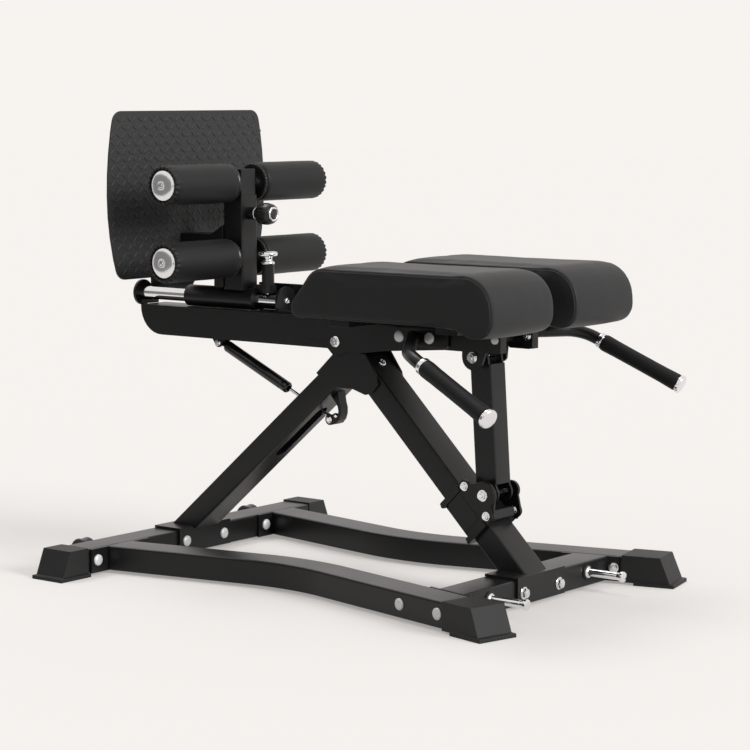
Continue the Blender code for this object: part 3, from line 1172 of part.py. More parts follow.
def centre_on_footprint(machine):
    """Move the machine so that its origin is under the middle of its box."""
    bpy.context.view_layer.update()
    graph = bpy.context.evaluated_depsgraph_get()
    corners = [piece.matrix_world @ Vector(corner)
               for piece in bpy.context.scene.objects if piece.type == "MESH" and not piece.hide_render
               for corner in piece.evaluated_get(graph).bound_box]
    machine.location.x -= (max(c.x for c in corners) + min(c.x for c in corners)) / 2
    machine.location.y -= (max(c.y for c in corners) + min(c.y for c in corners)) / 2


def main():
    clear_scene()
    steel = make_material("black_powder_coat", (0.018, 0.018, 0.019), 0.42)
    chrome = make_material("chrome", (0.80, 0.80, 0.81), 0.12, 1.0)
    rubber = make_material("black_rubber", (0.022, 0.022, 0.022), 0.70)
    plastic = make_material("black_plastic", (0.015, 0.015, 0.016), 0.38)
    leather = make_material("charcoal_vinyl", (0.028, 0.028, 0.030), 0.50)
    foam = make_material("black_foam", (0.020, 0.020, 0.021), 0.62)
    plate = make_material("textured_black_plate", (0.026, 0.026, 0.027), 0.50)

    machine = axis_empty("machine", Vector((0, 0, 0)))
    for side, sign in SIDES:
        side_rail(side, sign, steel, machine)
    cross_beams(steel, machine)
    foot_caps(rubber, machine)
    band_pegs(chrome, machine)
    transport_wheels(steel, plastic, machine)
    struts(steel, machine)
    gussets(steel, machine)
    spring_hook(steel, machine)

    tilt = axis_empty("tilt_axis", PIVOT, machine)
    main_beam(steel, tilt)
    bolt("pivot_bolt", PIVOT, SIDE_PLATE_OUTER_Y + SEAT, PIVOT_BOLT_RADIUS, chrome, tilt)
    bolt("link_top_bolt", LINK_TOP, SIDE_PLATE_OUTER_Y + SEAT, LINK_BOLT_RADIUS, chrome, tilt)
    pad_brackets(steel, tilt)
    thigh_pads(leather, tilt)
    handles(steel, rubber, chrome, tilt)
    slide_rail(steel, chrome, tilt)

    link(steel, axis_empty("link_axis", LINK_TOP, tilt))
    slide = axis_empty("carriage_slide", LINK_FOOT, machine)
    carriage(steel, chrome, slide)
    carriage_release(steel, slide)
    gas_spring(steel, chrome, axis_empty("spring_top_axis", SPRING_TOP, tilt),
               axis_empty("spring_foot_axis", SPRING_FOOT, machine), tilt, machine)

    carriage_axis = axis_empty("foot_slide", Vector((POST_X, 0, RAIL_AXIS_Z)), tilt)
    foot_carriage(steel, carriage_axis)
    foot_plate(steel, plate, carriage_axis)
    height_axis = axis_empty("height_slide", Vector((POST_X, 0, UPPER_AXLE_Z)), carriage_axis)
    height_tube(steel, height_axis)
    knob(plastic, carriage_axis)
    slide_pin(chrome, carriage_axis)
    roller_set("lower", LOWER_AXLE_Z, foam, chrome, carriage_axis)
    roller_set("upper", UPPER_AXLE_Z, foam, chrome, height_axis)
    centre_on_footprint(machine)


main()
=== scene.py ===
"""Looks of a back extension machine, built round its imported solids.

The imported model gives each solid's place. Every class below finishes one sub-assembly: it
coats and softens the steel, and replaces the pads, rollers, grips and knobs by detailed pieces
that ride on the same bodies. Lengths are metres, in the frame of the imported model.
"""

from __future__ import annotations

import json
import logging
import math
from dataclasses import dataclass, field
from enum import Enum
from typing import Any, Callable, Iterable, Optional, Sequence, Union

import bmesh
import bpy
import numpy as np
from mathutils import Matrix, Vector, noise

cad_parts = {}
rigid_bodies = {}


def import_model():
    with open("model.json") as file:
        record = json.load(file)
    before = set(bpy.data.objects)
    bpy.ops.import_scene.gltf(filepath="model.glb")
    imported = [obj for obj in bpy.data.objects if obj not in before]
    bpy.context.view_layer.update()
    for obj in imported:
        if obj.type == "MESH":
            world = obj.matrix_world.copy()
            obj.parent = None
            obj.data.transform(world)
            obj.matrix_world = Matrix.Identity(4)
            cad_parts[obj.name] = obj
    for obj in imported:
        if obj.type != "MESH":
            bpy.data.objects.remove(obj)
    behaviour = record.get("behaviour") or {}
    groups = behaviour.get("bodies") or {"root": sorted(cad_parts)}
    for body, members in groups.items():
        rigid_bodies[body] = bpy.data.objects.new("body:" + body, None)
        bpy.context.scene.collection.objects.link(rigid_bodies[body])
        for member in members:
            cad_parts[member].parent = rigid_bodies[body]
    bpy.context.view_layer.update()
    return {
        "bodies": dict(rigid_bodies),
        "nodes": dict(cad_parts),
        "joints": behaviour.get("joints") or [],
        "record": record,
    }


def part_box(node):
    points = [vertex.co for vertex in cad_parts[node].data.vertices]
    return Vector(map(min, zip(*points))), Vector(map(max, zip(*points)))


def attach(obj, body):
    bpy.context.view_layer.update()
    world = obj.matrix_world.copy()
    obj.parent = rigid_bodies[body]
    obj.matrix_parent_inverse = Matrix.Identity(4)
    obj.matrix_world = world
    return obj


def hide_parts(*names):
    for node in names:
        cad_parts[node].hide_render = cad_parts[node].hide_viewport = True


LOG = logging.getLogger("back_extension")
DATUM_X = 0.050689
ALONG_X = Vector((1.0, 0.0, 0.0))
ALONG_Y = Vector((0.0, 1.0, 0.0))
ALONG_Z = Vector((0.0, 0.0, 1.0))
SIDES = (("left", 1.0), ("right", -1.0))
HAIR = 1e-6

Point2 = tuple[float, float]
Colour = tuple[float, float, float]


def at(x: float, y: float, z: float) -> Vector:
    """Give a place that is measured from the machine's station line.

    Args:
        x: Distance ahead of the station line.
        y: Distance to the machine's left.
        z: Height over the floor.

    Returns:
        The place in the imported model's frame.
    """
    return Vector((x + DATUM_X, y, z))


STRUT_ANGLE = math.radians(45.1)
STRUT_FOOT = (0.3636, 0.0563)
SPRING_TOP = at(-0.4074, 0.0, 0.4528)


class Body(Enum):
    """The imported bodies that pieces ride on."""

    FRAME = "frame"
    LEFT_WHEEL = "left_wheel"
    RIGHT_WHEEL = "right_wheel"
    BEAM = "beam"
    LINK = "link_body"
    CARRIAGE = "carriage"
    RELEASE = "release"
    SPRING_CYLINDER = "spring_cylinder"
    SPRING_ROD = "spring_rod"
    FOOT_SLIDER = "foot_slider"
    HEIGHT_SLIDER = "height_slider"
    KNOB = "knob"
    PIN = "pin"
    LOWER_LEFT = "roller_lower_left"
    LOWER_RIGHT = "roller_lower_right"
    UPPER_LEFT = "roller_upper_left"
    UPPER_RIGHT = "roller_upper_right"


class Slot(Enum):
    """The record's material slots."""

    POWDER_COAT = "powder_coat"
    CHROME = "chrome"
    RUBBER = "rubber"
    PLASTIC = "plastic"
    VINYL = "vinyl"
    FOAM = "foam"
    TEXTURED_PLATE = "textured_plate"


class FastenerKind(Enum):
    """Shapes of screw head and nut."""

    DOME = "dome"
    HEX_NUT = "hex_nut"
    SOCKET = "socket"


# Node trees

class Field:
    """A number that changes over a surface, with arithmetic that adds Math nodes."""

    def __init__(self, sheet: "NodeSheet", socket: bpy.types.NodeSocket) -> None:
        """Wrap one socket of a sheet."""
        self.sheet = sheet
        self.socket = socket

    def combined(self, operation: str, *terms: Union["Field", float]) -> "Field":
        """Add a Math node.

        Args:
            operation: The Math node's operation.
            terms: What feeds its sockets, in order.

        Returns:
            The node's result.
        """
        made = self.sheet.node("ShaderNodeMath", {"operation": operation}, dict(enumerate(terms)))
        return Field(self.sheet, made.outputs[0])

    def __add__(self, other: Union["Field", float]) -> "Field":
        """Add."""
        return self.combined("ADD", self, other)

    __radd__ = __add__

    def __sub__(self, other: Union["Field", float]) -> "Field":
        """Subtract."""
        return self.combined("SUBTRACT", self, other)

    def __rsub__(self, other: float) -> "Field":
        """Subtract from a number."""
        return self.combined("SUBTRACT", other, self)

    def __mul__(self, other: Union["Field", float]) -> "Field":
        """Multiply."""
        return self.combined("MULTIPLY", self, other)

    __rmul__ = __mul__

    def __truediv__(self, other: Union["Field", float]) -> "Field":
        """Divide."""
        return self.combined("DIVIDE", self, other)

    def __pow__(self, other: float) -> "Field":
        """Raise to a power."""
        return self.combined("POWER", self, other)

    def __lt__(self, other: Union["Field", float]) -> "Field":
        """Give 1 where smaller."""
        return self.combined("LESS_THAN", self, other)

    def __gt__(self, other: Union["Field", float]) -> "Field":
        """Give 1 where greater."""
        return self.combined("GREATER_THAN", self, other)

    def __abs__(self) -> "Field":
        """Drop the sign."""
        return self.combined("ABSOLUTE", self)

    def at_least(self, low: float) -> "Field":
        """Hold at a lowest value."""
        return self.combined("MAXIMUM", self, low)

    def at_most(self, high: Union["Field", float]) -> "Field":
        """Hold at a highest value."""
        return self.combined("MINIMUM", self, high)


class NodeSheet:
    """A node tree that is filled one node at a time."""

    def __init__(self, tree: bpy.types.NodeTree) -> None:
        """Start on a tree."""
        self.tree = tree

    def node(self, kind: str, settings: Optional[dict[str, Any]] = None,
             inputs: Optional[dict[Any, Any]] = None) -> bpy.types.Node:
        """Add a node.

        Args:
            kind: The node's type.
            settings: Its properties, set first. A ramp's are given as stops.
            inputs: Values or links for its sockets, by name or number.

        Returns:
            The new node.
        """
        made = self.tree.nodes.new(kind)
        for key, value in (settings or {}).items():
            if key == "stops":
                self.set_stops(made.color_ramp, value)
            else:
                setattr(made, key, value)
        for key, value in (inputs or {}).items():
            self.feed(made.inputs[key], value)
        return made

    @staticmethod
    def set_stops(ramp: bpy.types.ColorRamp, stops: Sequence[tuple[float, float]]) -> None:
        """Set a ramp's grey stops, given as places and levels."""
        while len(ramp.elements) < len(stops):
            ramp.elements.new(0.5)
        for element, (place, level) in zip(ramp.elements, stops):
            element.position = place
            element.color = (level, level, level, 1.0)

    def feed(self, socket: bpy.types.NodeSocket, value: Any) -> None:
        """Link a socket, or set its value."""
        if isinstance(value, Field):
            self.tree.links.new(value.socket, socket)
        elif isinstance(value, bpy.types.NodeSocket):
            self.tree.links.new(value, socket)
        else:
            socket.default_value = value

    def parts(self, vector: bpy.types.NodeSocket) -> tuple[Field, Field, Field]:
        """Split a vector into its three numbers."""
        split = self.node("ShaderNodeSeparateXYZ", inputs={0: vector})
        return tuple(Field(self, split.outputs[index]) for index in range(3))


class Shader(NodeSheet):
    """One material's nodes."""

    def __init__(self, name: str) -> None:
        """Make a material with a Principled surface."""
        self.material = bpy.data.materials.new(name)
        self.material.use_nodes = True
        super().__init__(self.material.node_tree)
        self.surface = self.tree.nodes["Principled BSDF"]
        self.place = self.node("ShaderNodeTexCoord").outputs["Object"]

    def cloud(self, scale: float, detail: float = 2.0, roughness: float = 0.5,
              distortion: float = 0.0) -> Field:
        """Give smooth noise from 0 to 1.

        Args:
            scale: Features for each metre.
            detail: Layers of finer noise.
            roughness: Strength of the finer layers.
            distortion: How far the pattern is bent.

        Returns:
            The noise.
        """
        made = self.node("ShaderNodeTexNoise", None, {
            "Vector": self.place, "Scale": scale, "Detail": detail,
            "Roughness": roughness, "Distortion": distortion})
        return Field(self, made.outputs[0])

    def cells(self, scale: float, feature: str = "F1") -> Field:
        """Give the distance pattern of scattered cells.

        Args:
            scale: Cells for each metre.
            feature: The Voronoi feature.

        Returns:
            The distance.
        """
        made = self.node("ShaderNodeTexVoronoi", {"feature": feature}, {
            "Vector": self.place, "Scale": scale, "Randomness": 1.0})
        return Field(self, made.outputs["Distance"])

    def tinted(self, dark: Colour, light: Colour, share: Field) -> bpy.types.NodeSocket:
        """Mix two colours by a share."""
        made = self.node("ShaderNodeMix", {"data_type": "RGBA"}, {
            "Factor": share, 6: (*dark, 1.0), 7: (*light, 1.0)})
        return made.outputs[2]

    def relief(self, height: Field, depth: float, strength: float = 1.0) -> None:
        """Feed a height of 0 to 1 to the surface's normal, this many metres deep."""
        made = self.node("ShaderNodeBump", None, {
            "Strength": strength, "Distance": depth, "Height": height})
        self.feed(self.surface.inputs["Normal"], made.outputs[0])

    def finish(self, **sockets: Any) -> bpy.types.Material:
        """Set the surface's sockets, given with underscores for spaces, and end."""
        for name, value in sockets.items():
            self.feed(self.surface.inputs[name.replace("_", " ")], value)
        return self.material


# Finishes

def shade(colour: Colour, share: float) -> Colour:
    """Scale a colour."""
    return tuple(share * part for part in colour)


@dataclass(frozen=True)
class Finish:
    """A finish with a colour, a roughness and a slot in the record."""

    name: str
    slot: Slot
    colour: Colour
    roughness: float
    specular: float = 0.5

    def material(self) -> bpy.types.Material:
        """Build the finish's material."""
        raise NotImplementedError


@dataclass(frozen=True)
class PowderCoat(Finish):
    """Baked black coat with a fine orange peel."""

    name: str = "satin_powder_coat"
    slot: Slot = Slot.POWDER_COAT
    colour: Colour = (0.0088, 0.0088, 0.0092)
    roughness: float = 0.33
    specular: float = 0.30
    peel_scale: float = 620.0
    peel_depth: float = 0.00016

    def material(self) -> bpy.types.Material:
        """Build the coat."""
        shader = Shader(self.name)
        peel = shader.cloud(self.peel_scale, 1.0, 0.4)
        drift = shader.cloud(7.0, 3.0, 0.55)
        shader.relief(peel, self.peel_depth, 0.32)
        return shader.finish(
            Base_Color=shader.tinted(shade(self.colour, 0.86), shade(self.colour, 1.18), drift),
            Roughness=self.roughness + (peel - 0.5) * 0.10 + (drift - 0.5) * 0.10,
            Specular_IOR_Level=self.specular)


@dataclass(frozen=True)
class Chrome(Finish):
    """Bright plated steel with a faint haze."""

    name: str = "bright_chrome"
    slot: Slot = Slot.CHROME
    colour: Colour = (0.82, 0.82, 0.83)
    roughness: float = 0.09

    def material(self) -> bpy.types.Material:
        """Build the plating."""
        shader = Shader(self.name)
        haze = shader.cloud(55.0, 3.0, 0.6)
        grain = shader.cloud(900.0, 1.0, 0.5)
        shader.relief(grain, 0.00002, 0.25)
        return shader.finish(
            Base_Color=shader.tinted(shade(self.colour, 0.93), self.colour, haze),
            Metallic=1.0, Roughness=self.roughness + (haze - 0.5) * 0.08)


@dataclass(frozen=True)
class Zinc(Finish):
    """Dull zinc plate, paler where it is freshly barrelled."""

    name: str = "dull_zinc"
    slot: Slot = Slot.CHROME
    colour: Colour = (0.86, 0.86, 0.86)
    roughness: float = 0.40
    metal: float = 0.22

    def material(self) -> bpy.types.Material:
        """Build the plating."""
        shader = Shader(self.name)
        mottle = shader.cloud(340.0, 3.0, 0.6)
        drift = shader.cloud(18.0, 2.0, 0.5)
        shader.relief(mottle, 0.00008, 0.30)
        return shader.finish(
            Base_Color=shader.tinted(shade(self.colour, 0.80), shade(self.colour, 1.15),
                                     (mottle * 0.5 + drift * 0.5).at_most(1.0)),
            Metallic=self.metal, Roughness=self.roughness + (mottle - 0.5) * 0.14)


@dataclass(frozen=True)
class Rubber(Finish):
    """Moulded rubber with a fine, dull grain."""

    name: str = "moulded_rubber"
    slot: Slot = Slot.RUBBER
    colour: Colour = (0.0130, 0.0130, 0.0132)
    roughness: float = 0.56
    specular: float = 0.34
    grain: float = 1500.0

    def material(self) -> bpy.types.Material:
        """Build the rubber."""
        shader = Shader(self.name)
        grain = shader.cloud(self.grain, 2.0, 0.6)
        bloom = shader.cloud(16.0, 3.0, 0.5)
        shader.relief(grain, 0.00015, 0.35)
        return shader.finish(
            Base_Color=shader.tinted(shade(self.colour, 0.85), shade(self.colour, 1.25), bloom),
            Roughness=self.roughness + (bloom - 0.5) * 0.12 + (grain - 0.5) * 0.08,
            Specular_IOR_Level=self.specular)


@dataclass(frozen=True)
class Plastic(Finish):
    """Moulded black plastic."""

    name: str = "moulded_plastic"
    slot: Slot = Slot.PLASTIC
    colour: Colour = (0.0105, 0.0105, 0.0110)
    roughness: float = 0.30
    specular: float = 0.45
    grain: float = 800.0

    def material(self) -> bpy.types.Material:
        """Build the plastic."""
        shader = Shader(self.name)
        grain = shader.cloud(self.grain, 2.0, 0.5)
        flow = shader.cloud(24.0, 2.0, 0.5)
        shader.relief(grain, 0.00006, 0.25)
        return shader.finish(
            Base_Color=shader.tinted(shade(self.colour, 0.9), shade(self.colour, 1.15), flow),
            Roughness=self.roughness + (flow - 0.5) * 0.10, Specular_IOR_Level=self.specular)


@dataclass(frozen=True)
class Vinyl(Finish):
    """Upholstery vinyl with a fine pebble grain."""

    name: str = "grained_vinyl"
    slot: Slot = Slot.VINYL
    colour: Colour = (0.0190, 0.0190, 0.0198)
    roughness: float = 0.50
    specular: float = 0.28
    pebble: float = 900.0
    weave: float = 2850.0
    panel_y: float = 0.2335
    # Share by which painted shade darkens the outer side panels' colour.
    side_painted_shade: float = 0.62

    def material(self) -> bpy.types.Material:
        """Build the vinyl, with a duller, unwoven side panel whose colour is darkened by painted
        shade, under a woven-look top.
        """
        shader = Shader(self.name)
        along, across, up = shader.parts(shader.place)
        side = abs(across) > self.panel_y
        warp = (across * self.weave).combined("SINE", across * self.weave)
        weft = ((along - up) * self.weave).combined("SINE", (along - up) * self.weave)
        weave = (warp * weft * 0.5 + 0.5) * (1.0 - side)
        pebble = shader.cells(self.pebble, "SMOOTH_F1")
        crease = shader.cloud(260.0, 3.0, 0.55, 0.4)
        drift = shader.cloud(9.0, 3.0, 0.5)
        height = (pebble * 0.5 + crease * 0.35 + weave * 0.45).at_most(1.0)
        shader.relief(height, 0.00022, 0.40)
        grain_and_side_shade = (drift * 0.5 + pebble * 0.3 + weave * 0.35).at_most(1.0)
        # Painted shade: the outer side panels' colour is darkened here; their dullness and plain
        # grain are the panel's own.
        grain_and_side_shade = grain_and_side_shade * (1.0 - side * self.side_painted_shade)
        return shader.finish(
            Base_Color=shader.tinted(shade(self.colour, 0.50), shade(self.colour, 1.35), grain_and_side_shade),
            Roughness=(self.roughness + (pebble - 0.4) * 0.14 + (drift - 0.5) * 0.08
                       + side * 0.08),
            Specular_IOR_Level=self.specular, Sheen_Weight=0.05, Sheen_Roughness=0.4)


@dataclass(frozen=True)
class Foam(Finish):
    """Closed-cell foam skin: matt, with tiny pores."""

    name: str = "closed_cell_foam"
    slot: Slot = Slot.FOAM
    colour: Colour = (0.0120, 0.0120, 0.0124)
    roughness: float = 0.52
    specular: float = 0.24
    pore: float = 1300.0

    def material(self) -> bpy.types.Material:
        """Build the foam."""
        shader = Shader(self.name)
        pores = shader.cells(self.pore)
        skin = shader.cloud(420.0, 3.0, 0.6)
        drift = shader.cloud(12.0, 2.0, 0.5)
        shader.relief((pores * 0.7 + skin * 0.5).at_most(1.0), 0.00020, 0.40)
        return shader.finish(
            Base_Color=shader.tinted(shade(self.colour, 0.80), shade(self.colour, 1.20), drift),
            Roughness=self.roughness + (skin - 0.5) * 0.14 + (drift - 0.5) * 0.06,
            Specular_IOR_Level=self.specular)


@dataclass(frozen=True)
class TreadCoat(PowderCoat):
    """The coat on the foot plate's tread, with painted shade in its furrows and painted light on
    its high spots.
    """

    name: str = "tread_powder_coat"
    slot: Slot = Slot.TEXTURED_PLATE
    colour: Colour = (0.0290, 0.0290, 0.0296)
    roughness: float = 0.50
    wrinkle: float = 230.0

    def material(self) -> bpy.types.Material:
        """Build the coat, wrinkled into short furrows, with colour that follows their height."""
        shader = Shader(self.name)
        furrow = shader.cloud(self.wrinkle, 4.0, 0.62)
        patch = shader.cloud(90.0, 3.0, 0.6)
        shader.relief((furrow * 0.8 + patch * 0.3).at_most(1.0), 0.0012, 0.85)
        # Painted shade and light: the colour darkens in the low furrows and lightens on the crests.
        share = (furrow * 1.5 - 0.25).at_most(1.0).at_least(0.0)
        return shader.finish(
            Base_Color=shader.tinted(shade(self.colour, 0.62), shade(self.colour, 1.36), share),
            Roughness=self.roughness + (patch - 0.5) * 0.14,
            Specular_IOR_Level=self.specular)


@dataclass(frozen=True)
class GlossBlack(Plastic):
    """Gloss paint on the gas spring's cylinder."""

    name: str = "gloss_black_paint"
    slot: Slot = Slot.POWDER_COAT
    colour: Colour = (0.0090, 0.0090, 0.0095)
    roughness: float = 0.16
    grain: float = 300.0


@dataclass(frozen=True)
class Thread(Finish):
    """Twisted upholstery thread."""

    name: str = "seam_thread"
    slot: Slot = Slot.VINYL
    colour: Colour = (0.0140, 0.0140, 0.0145)
    roughness: float = 0.70

    def material(self) -> bpy.types.Material:
        """Build the thread."""
        shader = Shader(self.name)
        twist = shader.cloud(2200.0, 1.0, 0.5)
        shader.relief(twist, 0.0001, 0.5)
        return shader.finish(
            Base_Color=shader.tinted(shade(self.colour, 0.7), shade(self.colour, 1.4), twist),
            Roughness=self.roughness + (twist - 0.5) * 0.1)


COAT = PowderCoat()
CHROME = Chrome()
SATIN_CHROME = Chrome(name="satin_chrome", colour=(0.80, 0.80, 0.81), roughness=0.20)
ZINC = Zinc()
RUBBER = Rubber()
GRIP_RUBBER = Rubber(name="grip_rubber", colour=(0.0085, 0.0085, 0.0088), roughness=0.55,
                     specular=0.18, grain=1100.0)
PLASTIC = Plastic()
VINYL = Vinyl()
FOAM = Foam()
TREAD = TreadCoat()
GLOSS = GlossBlack()
THREAD = Thread()


# Mesh shapes

def skin(rings: Sequence[Sequence[Vector]], loop: bool = False) -> bmesh.types.BMesh:
    """Skin rings of points; a ring of one point closes to a tip.

    Args:
        rings: The rings, in order.
        loop: Whether the last ring joins the first.

    Returns:
        A closed mesh with its faces outwards.
    """
    mesh = bmesh.new()
    rows = [[mesh.verts.new(point) for point in ring] for ring in rings]
    pairs = list(zip(rows, rows[1:] + rows[:1] if loop else rows[1:]))
    for first, second in pairs:
        count = max(len(first), len(second))
        for index in range(count):
            after = (index + 1) % count
            corners = [first[index % len(first)], first[after % len(first)],
                       second[after % len(second)], second[index % len(second)]]
            mesh.faces.new(list(dict.fromkeys(corners)))
    if not loop:
        for end in (rows[0], rows[-1]):
            if len(end) > 2:
                mesh.faces.new(end)
    bmesh.ops.recalc_face_normals(mesh, faces=mesh.faces)
    return mesh


def circle_frame(axis: Vector) -> tuple[Vector, Vector]:
    """Give two unit vectors square to an axis and to each other."""
    across = ALONG_Z if abs(axis.z) < 0.9 else ALONG_X
    first = axis.cross(across).normalized()
    return first, axis.cross(first).normalized()


def circle(centre: Vector, first: Vector, second: Vector, radius: float, count: int
           ) -> list[Vector]:
    """Give points evenly round a circle.

    Args:
        centre: Its middle.
        first: A unit vector towards its first point.
        second: A unit vector a quarter turn on.
        radius: Its radius.
        count: How many points.

    Returns:
        The points, in order.
    """
    angles = (2 * math.pi * index / count for index in range(count))
    return [centre + (first * math.cos(a) + second * math.sin(a)) * radius for a in angles]


def turned(profile: Sequence[Point2], origin: Vector, axis: Vector, steps: int = 64,
           loop: bool = False, swell: Optional[Callable[[float, float], float]] = None
           ) -> bmesh.types.BMesh:
    """Turn a profile round an axis.

    Args:
        profile: Radius and distance along the axis of each point.
        origin: Where the axis starts.
        axis: Its direction.
        steps: Points for each turn.
        loop: Whether the profile closes on itself, as a ring's does.
        swell: A change of radius, from the angle and the distance.

    Returns:
        The closed mesh.
    """
    axis = axis.normalized()
    first, second = circle_frame(axis)
    rings = []
    for radius, distance in profile:
        centre = origin + axis * distance
        if radius < HAIR:
            rings.append([centre])
            continue
        ring = []
        for index in range(steps):
            angle = 2 * math.pi * index / steps
            reach = radius + (swell(angle, distance) if swell else 0.0)
            ring.append(centre + (first * math.cos(angle) + second * math.sin(angle)) * reach)
        rings.append(ring)
    return skin(rings, loop)


def eased(profile: Sequence[Point2], radius: float, steps: int = 4, loop: bool = False
          ) -> list[Point2]:
    """Round the corners of a profile.

    Args:
        profile: Its corners.
        radius: The largest rounding, held to a third of the shorter side.
        steps: Steps in each corner.
        loop: Whether the profile is closed.

    Returns:
        The points of the rounded profile.
    """
    count = len(profile)
    points: list[Point2] = []
    for index, corner in enumerate(profile):
        if not loop and index in (0, count - 1):
            points.append(tuple(corner))
            continue
        here = Vector(corner)
        before = Vector(profile[index - 1]) - here
        after = Vector(profile[(index + 1) % count]) - here
        reach = min(radius, before.length / 2.5, after.length / 2.5)
        start = here + before.normalized() * reach
        end = here + after.normalized() * reach
        for step in range(steps + 1):
            t = step / steps
            point = start * (1 - t) ** 2 + here * 2 * t * (1 - t) + end * t * t
            points.append((point.x, point.y))
    return points


def joined(meshes: Iterable[bmesh.types.BMesh]) -> bmesh.types.BMesh:
    """Put several meshes in one, and free them."""
    result = bmesh.new()
    for mesh in meshes:
        part = bpy.data.meshes.new("part")
        mesh.to_mesh(part)
        mesh.free()
        result.from_mesh(part)
        bpy.data.meshes.remove(part)
    return result


def rounded_outline(corners: Sequence[Point2], radii: Sequence[float], steps: int = 6
                    ) -> list[Vector]:
    """Round an outline's corners with true arcs.

    Args:
        corners: The outline's corners.
        radii: One radius for each.
        steps: Steps in each arc.

    Returns:
        The points of the rounded outline.
    """
    points = []
    for index, corner in enumerate(corners):
        here = Vector(corner)
        before = (Vector(corners[index - 1]) - here).normalized()
        after = (Vector(corners[(index + 1) % len(corners)]) - here).normalized()
        half = before.angle(after) / 2
        if radii[index] <= 0 or half > math.radians(89):
            points.append(here)
            continue
        centre = here + (before + after).normalized() * radii[index] / math.sin(half)
        start = here + before * radii[index] / math.tan(half) - centre
        end = here + after * radii[index] / math.tan(half) - centre
        turn = start.angle_signed(end)
        for step in range(steps + 1):
            angle = -turn * step / steps
            cosine, sine = math.cos(angle), math.sin(angle)
            points.append(centre + Vector((start.x * cosine - start.y * sine,
                                           start.x * sine + start.y * cosine)))
    return points


def spaced(points: Sequence[Vector], count: int) -> list[Vector]:
    """Place points evenly round a closed outline."""
    closed = [*points, points[0]]
    lengths = [0.0]
    for before, after in zip(closed, closed[1:]):
        lengths.append(lengths[-1] + (after - before).length)
    result = []
    leg = 0
    for index in range(count):
        wanted = lengths[-1] * index / count
        while lengths[leg + 1] < wanted:
            leg += 1
        share = (wanted - lengths[leg]) / max(lengths[leg + 1] - lengths[leg], HAIR)
        result.append(closed[leg].lerp(closed[leg + 1], share))
    return result


# Geometry Nodes

class Craft(NodeSheet):
    """A Geometry Nodes tree that is run once on a base mesh, and its result kept."""

    def __init__(self, name: str, inputs: dict[str, tuple[str, Any]]) -> None:
        """Make the tree.

        Args:
            name: The tree's name.
            inputs: Socket type and first value of each named input.
        """
        super().__init__(bpy.data.node_groups.new(name, "GeometryNodeTree"))
        face = self.tree.interface
        face.new_socket("Geometry", in_out="INPUT", socket_type="NodeSocketGeometry")
        self.identifiers: dict[str, str] = {}
        for label, (kind, value) in inputs.items():
            socket = face.new_socket(label, in_out="INPUT", socket_type=kind)
            if value is not None:
                socket.default_value = value
            self.identifiers[label] = socket.identifier
        face.new_socket("Geometry", in_out="OUTPUT", socket_type="NodeSocketGeometry")
        self.source = self.node("NodeGroupInput")
        self.result = self.node("NodeGroupOutput")

    def input(self, label: str) -> bpy.types.NodeSocket:
        """Give a named input's socket."""
        return self.source.outputs[label]

    def number(self, label: str) -> Field:
        """Give a named input as a number."""
        return Field(self, self.input(label))

    def end(self, instances: bpy.types.NodeSocket) -> None:
        """Realize what the tree made, and set its material."""
        real = self.node("GeometryNodeRealizeInstances", None, {0: instances})
        coated = self.node("GeometryNodeSetMaterial", None, {
            "Geometry": real.outputs[0], "Material": self.input("Finish")})
        self.feed(self.result.inputs[0], coated.outputs[0])

    def run(self, name: str, base: bpy.types.Mesh, values: dict[str, Any]) -> bpy.types.Object:
        """Run the tree.

        Args:
            name: Name of the finished piece.
            base: What the tree starts from.
            values: A value for each named input.

        Returns:
            The piece, as a plain mesh.
        """
        carrier = bpy.data.objects.new(name + "_base", base)
        bpy.context.scene.collection.objects.link(carrier)
        modifier = carrier.modifiers.new("craft", "NODES")
        modifier.node_group = self.tree
        for label, value in values.items():
            modifier[self.identifiers[label]] = value
        graph = bpy.context.evaluated_depsgraph_get()
        mesh = bpy.data.meshes.new_from_object(carrier.evaluated_get(graph), depsgraph=graph)
        mesh.name = name
        carrier.modifiers.remove(modifier)
        bpy.data.objects.remove(carrier)
        piece = bpy.data.objects.new(name, mesh)
        bpy.context.scene.collection.objects.link(piece)
        return piece


class FastenerCraft(Craft):
    """Sets one head or nut on each point of the base."""

    def __init__(self) -> None:
        """Build the tree."""
        super().__init__("set_fasteners", {
            "Head": ("NodeSocketObject", None), "Finish": ("NodeSocketMaterial", None)})
        head = self.node("GeometryNodeObjectInfo", {"transform_space": "ORIGINAL"},
                         {"Object": self.input("Head"), "As Instance": True})
        facing = self.node("GeometryNodeInputNamedAttribute", {"data_type": "FLOAT_VECTOR"},
                           {"Name": "facing"})
        spin = self.node("GeometryNodeInputNamedAttribute", {"data_type": "FLOAT"},
                         {"Name": "spin"})
        size = self.node("GeometryNodeInputNamedAttribute", {"data_type": "FLOAT"},
                         {"Name": "size"})
        turn = self.node("FunctionNodeAlignRotationToVector", {"axis": "Z"},
                         {"Vector": facing.outputs["Attribute"]})
        about = self.node("FunctionNodeAxisAngleToRotation", None,
                          {"Axis": (0.0, 0.0, 1.0), "Angle": spin.outputs["Attribute"]})
        both = self.node("FunctionNodeRotateRotation", {"rotation_space": "LOCAL"},
                         {"Rotation": turn.outputs[0], "Rotate By": about.outputs[0]})
        set_down = self.node("GeometryNodeInstanceOnPoints", None, {
            "Points": self.input("Geometry"), "Instance": head.outputs["Geometry"],
            "Rotation": both.outputs[0], "Scale": size.outputs["Attribute"]})
        self.end(set_down.outputs[0])


